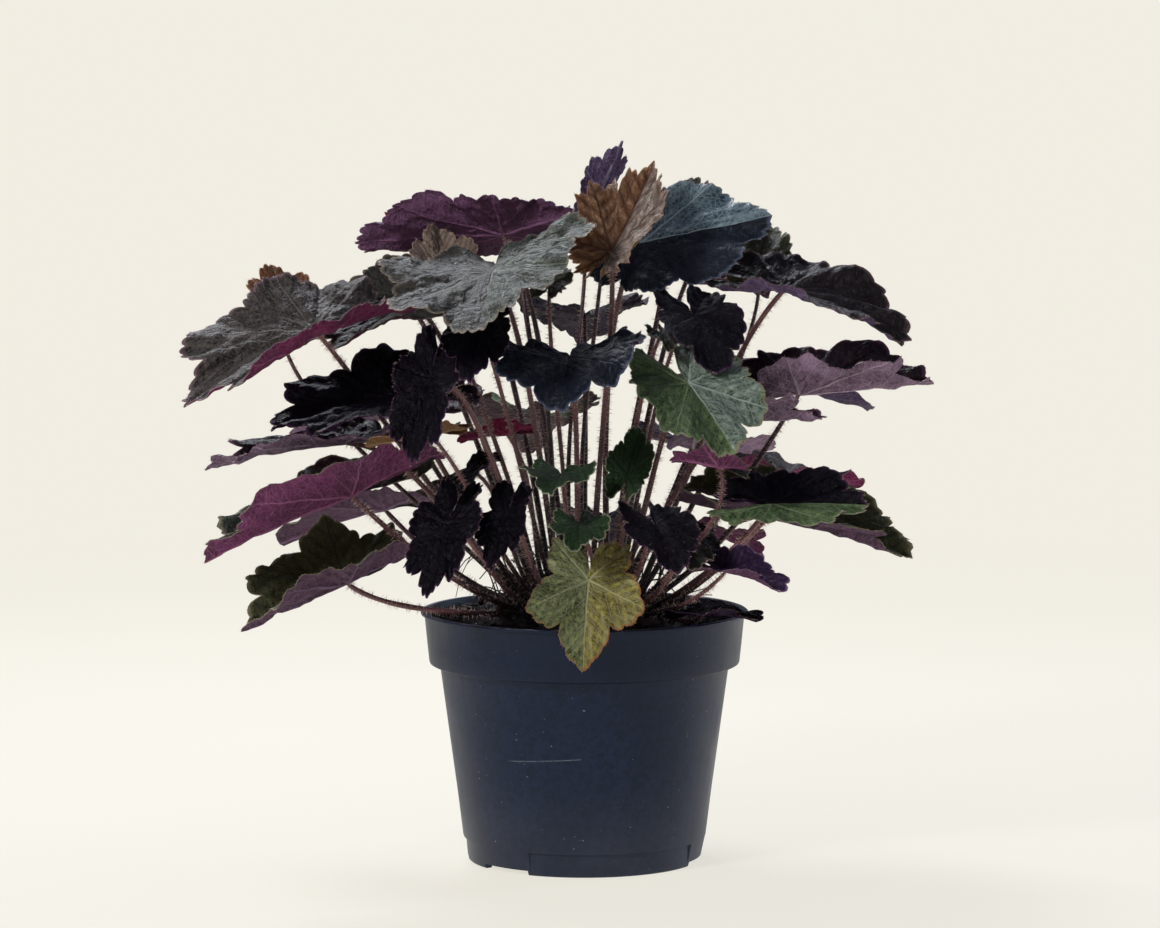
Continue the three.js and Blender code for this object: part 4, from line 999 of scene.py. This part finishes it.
def chips(shell, count, low, high, size, rng, paint_index, lift=0.0):
    """Bark chips and grit lying on the soil: irregular closed blocks."""
    radius = np.sqrt(rng.uniform(low**2, high**2, count))
    angle = rng.uniform(0, 2 * math.pi, count)
    x, y = radius * np.cos(angle), radius * np.sin(angle)
    centre = np.stack([x, y, soil_height(x, y) - 0.6 + lift], 1)
    half = [rng.uniform(*limits, count) / 2 for limits in size]
    turn = rng.uniform(0, math.pi, count)
    tip = rng.normal(0, 0.32, count)
    ahead = np.stack([np.cos(turn) * np.cos(tip), np.sin(turn) * np.cos(tip), np.sin(tip)], 1)
    level = np.stack([-np.sin(turn), np.cos(turn), rng.normal(0, 0.3, count)], 1)
    level = unit(level - ahead * (level * ahead).sum(1)[:, None])
    axes = (ahead, level, np.cross(ahead, level))
    corners = []
    for k in (-1, 1):
        for j, i in ((-1, -1), (-1, 1), (1, 1), (1, -1)):
            shrink = rng.uniform(0.45, 1.0, (3, count))
            corner = centre
            for way, axis, reach, less in zip((i, j, k), axes, half, shrink):
                corner = corner + axis * (way * reach * less)[:, None]
            corners.append(corner)
    points = np.stack(corners, 1).reshape(-1, 3)
    block = [(0, 3, 2, 1), (4, 5, 6, 7), (0, 1, 5, 4), (1, 2, 6, 5), (2, 3, 7, 6), (3, 0, 4, 7)]
    step = 8 * np.arange(count)[:, None]
    shell.add(points, np.vstack([step + np.array(f) for f in block]), paint_index)


def root(shell, low, high, rng, paint_index):
    """A thin crooked root or straw on the soil."""
    radius, angle, turn = rng.uniform(low, high), rng.uniform(0, 6.28), rng.uniform(0, 6.28)
    size = rng.uniform(5, 15)
    t = np.linspace(-0.5, 0.5, 7)
    x = radius * math.cos(angle) + size * t * math.cos(turn) + rng.normal(0, 0.35, 7)
    y = radius * math.sin(angle) + size * t * math.sin(turn) + rng.normal(0, 0.35, 7)
    keep = np.minimum(1, SOIL_LIMIT_R / np.hypot(x, y))
    x, y = x * keep, y * keep
    z = soil_height(x, y) + 0.5 + rng.uniform(0, 1.6) * (1 - 4 * t * t) + rng.normal(0, 0.15, 7)
    radii = np.full(7, rng.uniform(0.2, 0.45))
    shell.add_solid(*tube(np.stack([x, y, z], 1), radii, 5)[:3], paint_index)


def stub(shell, rng, paint_index):
    """What is left on the crown of a shed leaf."""
    r, a = 50 * math.sqrt(rng.uniform(0.02, 1)), rng.uniform(0, 2 * math.pi)
    foot = np.array([r * math.cos(a), r * math.sin(a), crown_height(r, a) - 3])
    lean = np.array([math.cos(a) * r / 60, math.sin(a) * r / 60, 1]) + rng.normal(0, 0.2, 3)
    size = rng.uniform(5, 11)
    path = [foot + unit(lean) * size * t for t in (0, 0.5, 0.85, 1)]
    wide = rng.uniform(0.9, 2.0)
    radii = [wide, wide * 0.85, wide * 0.7, wide * 0.35]
    shell.add_solid(*tube(path, radii, 7)[:3], paint_index)


def withered_stalk(shell, rng, paint_index):
    """A thin dry stalk that arches out of the crown."""
    r, a = rng.uniform(22, 50), rng.uniform(0, 2 * math.pi)
    way, out = a + rng.normal(0, 0.5), rng.uniform(12, 34)
    rises = rng.uniform(6, 40)
    t = np.linspace(0, 1, 9)
    x = r * math.cos(a) + out * t * math.cos(way)
    y = r * math.sin(a) + out * t * math.sin(way)
    z = crown_height(r, a) - 2 + rises * np.sin(t * rng.uniform(1.2, 2.7))
    keep = np.minimum(1, STALK_LIMIT_R / np.hypot(x, y))
    radii = rng.uniform(0.3, 0.6) * (1 - 0.45 * t)
    shell.add_solid(*tube(np.stack([x * keep, y * keep, z], 1), radii, 6)[:3], paint_index)


def earth(tree, dark, light, scale, rough):
    """Crumbly dark stuff: peat, bark, grains and dead leaf bases."""
    place = plain_place(tree)
    coarse = noise(place, scale, 6, 0.65)
    crumb = cells(place, scale * 2.2, "F1")
    colour = coats(paint(dark), (rise(coarse, 0.38, 0.68), paint(light)))
    # darker between the crumbs, where the bump sinks: painted shade
    colour = coats(colour, (rise(crumb, 0.25, 0.7, 0, 0.5), paint("0c0908")))
    gloss = rise(coarse, 0.3, 0.7, rough - 0.12, rough)
    return body(colour, gloss, {"Normal": bump(coarse - crumb * 0.6, 0.9, 0.0012)})


# ---- settings ----------------------------------------------------------------------------------
class PotSettings(bpy.types.PropertyGroup):
    rim_radius: length("Rim radius", "Outer radius of the lip", 0.085)
    plastic: unit_colour("Plastic", "Colour of the pot", "121a30")
    plastic_worn: unit_colour("Worn plastic", "Colour where the pot is rubbed", "1a223a")


class SoilSettings(bpy.types.PropertyGroup):
    chips: how_many("Bark chips", "How many chips lie on the soil", 420)
    flecks: how_many("Pale flecks", "How many pale grains lie on the soil", 70)
    seed: draw_seed(11)


class CrownSettings(bpy.types.PropertyGroup):
    stubs: how_many("Stubs", "How many leaf stubs stand on the crown", 110)
    withered: how_many("Withered stalks", "How many thin dry stalks arch out of it", 90)
    seed: draw_seed(23)


class LeafSettings(bpy.types.PropertyGroup):
    thickness: length("Blade thickness", "Thickness at the junction with the petiole", 0.0007, 0.003)
    pucker: length("Pucker", "How far the flesh stands up between the veins", 0.0008, 0.005)
    hair_length: length("Hair length", "Longest bristle on a petiole", 0.0028, 0.01)
    hairs_per_mm: density("Hairs", "Bristles for each millimetre of petiole", 3.4)
    margin_hairs_per_mm: density("Margin hairs", "Hairs for each millimetre of margin", 0.7)
    seed: draw_seed(5)


class StageSettings(bpy.types.PropertyGroup):
    ground: unit_colour("Ground", "Colour of the floor and the background", "f1ede2")
    camera_distance: length("Camera distance", "From the camera to the plant", 2.5, 20)
    camera_height: length("Camera height", "Above the floor", 0.45, 5)


# ---- operators ---------------------------------------------------------------------------------
ROOTS = 90  # thin roots and straws on the soil
# petioles in front take the lit, rosy copy of the stalk paint, those behind a darker copy: painted light and
# shade
FRONT_Y = -15  # petioles in front of this are lit and rosy


def dressed(made, cad_node):
    """Ties a piece to the body and hides the CAD node that it stands for."""
    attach(made, "root")
    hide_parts(cad_node)


def place_leaf(row):
    """A leaf moved to where the frame holds it."""
    leaf = Leaf(row)
    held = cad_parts["leaf_" + leaf.name].data.vertices
    seen = np.zeros(len(held) * 3, np.float32)
    held.foreach_get("co", seen)
    blade_gap, stem_gap = leaf.settle(seen.reshape(-1, 3).astype(float) / MM)
    if blade_gap > BLADE_GAP_LIMIT or stem_gap > STEM_GAP_LIMIT:
        raise RuntimeError(f"{leaf.name} isn't where the frame holds it: {blade_gap} {stem_gap}")
    return leaf


class HEUCHERA_OT_pot(bpy.types.Operator):
    """Turns the nursery pot"""

    bl_idname = "heuchera.pot"
    bl_label = "Nursery pot"

    def execute(self, context):
        settings = context.scene.heuchera_pot
        shell = Shell()
        shell.add_solid(*pot_shell(settings), 0)
        made = shell.piece("pot", [material("pot_plastic", pot_plastic, settings)], crease=32)
        drill_holes(made, context)
        dressed(made, "nursery_pot")
        return {"FINISHED"}


class HEUCHERA_OT_soil(bpy.types.Operator):
    """Fills the pot and strews bark, roots and pale grains on top"""

    bl_idname = "heuchera.soil"
    bl_label = "Potting soil"

    def execute(self, context):
        settings = context.scene.heuchera_soil
        rng = np.random.default_rng(settings.seed)
        peat, bark, grain = range(3)
        shell = Shell()
        shell.add_solid(*soil_shell(rng), peat)
        chips(shell, settings.chips, 53, 78, ((3, 11), (1.2, 4), (0.8, 2.4)), rng, bark)
        chips(shell, settings.chips * 2, 53, 79, ((1, 3), (0.8, 2), (0.6, 1.6)), rng, peat, 0.4)
        chips(shell, settings.flecks, 54, 79, ((0.8, 2.2), (0.7, 1.8), (0.6, 1.4)), rng, grain, 0.8)
        for _ in range(ROOTS):
            root(shell, 52, 77, rng, bark)
        finishes = [
            material("peat", earth, "0d0a0b", "1f1816", 260, 0.95),
            material("bark", earth, "17100e", "3a2c26", 420, 0.85),
            material("grain", earth, "8a8078", "c2b8aa", 500, 0.8),
        ]
        dressed(shell.piece("soil", finishes, crease=35), "potting_soil")
        return {"FINISHED"}


class HEUCHERA_OT_crown(bpy.types.Operator):
    """Builds the knobbly crown with the stubs of shed leaves"""

    bl_idname = "heuchera.crown"
    bl_label = "Crown"

    def execute(self, context):
        settings = context.scene.heuchera_crown
        rng = np.random.default_rng(settings.seed)
        wood, dry = range(2)
        shell = Shell()
        shell.add_solid(*crown_shell(rng), wood)
        for _ in range(settings.stubs):
            stub(shell, rng, dry)
        for _ in range(settings.withered):
            withered_stalk(shell, rng, dry)
        finishes = [
            material("crown_bark", earth, "150d0c", "3c2822", 300, 0.9),
            material("leaf_stub", earth, "241614", "5a3c34", 500, 0.8),
        ]
        dressed(shell.piece("rootstock", finishes, crease=40), "crown")
        return {"FINISHED"}


class HEUCHERA_OT_leaves(bpy.types.Operator):
    """Grows every leaf with its hairy petiole where the frame holds it"""

    bl_idname = "heuchera.leaves"
    bl_label = "Leaves"

    def execute(self, context):
        settings = context.scene.heuchera_leaves
        sides = {
            finish: [
                material(f"{finish}_upper", blade_side, finish, False),
                material(f"{finish}_under", blade_side, finish, True),
            ]
            for finish in FINISHES
        }
        # two copies of one stalk paint, lit and darker: painted light and shade
        lit_stalk = material("petiole", petiole_skin, "1c1016", "86565c")
        shaded_stalk = material("petiole_shaded", petiole_skin, "120a0f", "4c2c38")
        hair = material("bristle", bristle_skin)
        for index, row in enumerate(LEAVES):
            leaf = place_leaf(row)
            rng = np.random.default_rng(settings.seed * 1000 + index)
            shell = Shell()
            blade(shell, leaf, settings, rng)
            petiole(shell, leaf, settings, rng)
            stalk = lit_stalk if leaf.at[1] < FRONT_Y else shaded_stalk
            blades = [side for finish in leaf.finish.split("/") for side in sides[finish]]
            made = shell.piece("grown_" + leaf.name, [stalk, hair, *blades], True, 55)
            cad_node = "leaf_" + leaf.name
            dressed(made, cad_node)
        return {"FINISHED"}


# ---- stage -------------------------------------------------------------------------------------
FLOOR_RINGS = (150, 600, 3000, 9000)
FOCAL_LENGTH, SENSOR = 150.64, 36
CAMERA_X, AIM_Z = -0.0023, 0.206
LAMPS = [  # name, place, aim, size, power, colour
    ("softbox_top", (-0.35, 0.95, 1.3), (0, 0, 0.25), (0.5, 0.4), 20, (0.9, 0.94, 1)),
    ("softbox_front", (-1.1, -1.3, 1.3), (0, 0, 0.2), (0.35, 0.35), 21, (1, 0.98, 0.97)),
    ("strip_right", (1.3, 0.6, 0.4), (0, 0, 0.1), (0.2, 1.0), 6, (0.75, 0.86, 1)),
]


def floor_paint(tree, ground):
    """Matt near the pot, and the same as the background further off."""
    place = plain_place(tree)
    away = wire(tree, "ShaderNodeVectorMath", {0: place}, "Value", operation="LENGTH")
    grey = blend(noise(place, 3, 2), paint("7a7872"), paint("807d77"))
    matt = wire(tree, "ShaderNodeBsdfDiffuse", {"Color": grey})
    glow = {
        power: wire(tree, "ShaderNodeEmission", {"Color": ground, "Strength": power})
        for power in (0.8, 1.0)
    }
    near = wire(tree, "ShaderNodeAddShader", {0: matt, 1: glow[0.8]})
    return wire(tree, "ShaderNodeMixShader", {0: rise(away, 0.25, 1.6), 1: near, 2: glow[1.0]})


def studio(ground):
    """Sky that lights from behind and above, and shows the ground's colour to the camera."""
    world = bpy.data.worlds.new("studio")
    world.use_nodes = True
    tree = world.node_tree
    tree.nodes.clear()
    _, back, top = split(wire(tree, "ShaderNodeTexCoord", output="Generated"))
    seen = wire(tree, "ShaderNodeLightPath", output="Is Camera Ray")
    light = rise(back, -0.5, 0.75, 0.15, 0.5) + rise(top, 0.1, 0.9, 0.0, 0.15)
    power = light * (1.0 - seen) + seen
    colour = blend(seen, paint("d4ddf4"), ground)
    sky = wire(tree, "ShaderNodeBackground", {"Color": colour, "Strength": power})
    node(tree, "ShaderNodeOutputWorld", {"Surface": sky})
    return world


def put(scene, name, data, place, aim):
    """A lamp or camera at a place, looking at aim with +Z up."""
    made = bpy.data.objects.new(name, data)
    scene.collection.objects.link(made)
    made.location = place
    made.rotation_mode = "QUATERNION"
    way = Vector(np.array(aim) - np.array(place))
    made.rotation_quaternion = way.to_track_quat("-Z", "Y")
    return made


class HEUCHERA_OT_stage(bpy.types.Operator):
    """Sets the floor, the light and the camera"""

    bl_idname = "heuchera.stage"
    bl_label = "Stage"

    def execute(self, context):
        scene = context.scene
        settings = scene.heuchera_stage
        scene.view_settings.view_transform = "Standard"
        scene.world = studio(settings.ground)

        shell = Shell()
        columns = 64
        a = np.arange(columns) * 2 * math.pi / columns
        rings = [ring(r, a, 0) for r in FLOOR_RINGS]
        points = np.vstack([*rings, [[0, 0, 0]]])
        shell.add(points, lathe_faces(len(rings), columns)[:, ::-1], 0)
        shell.link(0, fan(columns, len(points) - 1, 0, outward=False), 0)
        shell.piece("floor", [material("floor", floor_paint, settings.ground)])

        for name, place, aim, size, power, colour in LAMPS:
            lamp = bpy.data.lights.new(name, "AREA")
            lamp.shape, lamp.size, lamp.size_y = "RECTANGLE", *size
            lamp.energy, lamp.color = power, colour
            put(scene, name, lamp, place, aim)

        camera = bpy.data.cameras.new("camera")
        camera.lens, camera.sensor_width = FOCAL_LENGTH, SENSOR
        camera.clip_start, camera.clip_end = 0.05, 30
        eye = (CAMERA_X, -settings.camera_distance, settings.camera_height)
        scene.camera = put(scene, "camera", camera, eye, (CAMERA_X, 0, AIM_Z))
        return {"FINISHED"}


class HEUCHERA_PT_panel(bpy.types.Panel):
    """Lists the builders"""

    bl_label = "Heuchera"
    bl_idname = "HEUCHERA_PT_panel"
    bl_space_type = "VIEW_3D"
    bl_region_type = "UI"
    bl_category = "Heuchera"

    def draw(self, context):
        for group in GROUPS:
            box = self.layout.box()
            box.operator(group.replace("_", ".", 1))
            settings = getattr(context.scene, group)
            for key in settings.bl_rna.properties.keys():
                if key not in ("rna_type", "name"):
                    box.prop(settings, key)


GROUPS = {
    "heuchera_pot": PotSettings,
    "heuchera_soil": SoilSettings,
    "heuchera_crown": CrownSettings,
    "heuchera_leaves": LeafSettings,
    "heuchera_stage": StageSettings,
}
CLASSES = (
    *GROUPS.values(),
    HEUCHERA_OT_pot, HEUCHERA_OT_soil, HEUCHERA_OT_crown, HEUCHERA_OT_leaves, HEUCHERA_OT_stage,
    HEUCHERA_PT_panel,
)


def register():
    for made in CLASSES:
        bpy.utils.register_class(made)
    for name, group in GROUPS.items():
        setattr(bpy.types.Scene, name, bpy.props.PointerProperty(type=group))


def unregister():
    for name in GROUPS:
        delattr(bpy.types.Scene, name)
    for made in reversed(CLASSES):
        bpy.utils.unregister_class(made)


def main():
    register()
    bpy.ops.heuchera.pot()
    bpy.ops.heuchera.soil()
    bpy.ops.heuchera.crown()
    bpy.ops.heuchera.leaves()
    bpy.ops.heuchera.stage()
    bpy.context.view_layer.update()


if __name__ == "__main__":
    main()
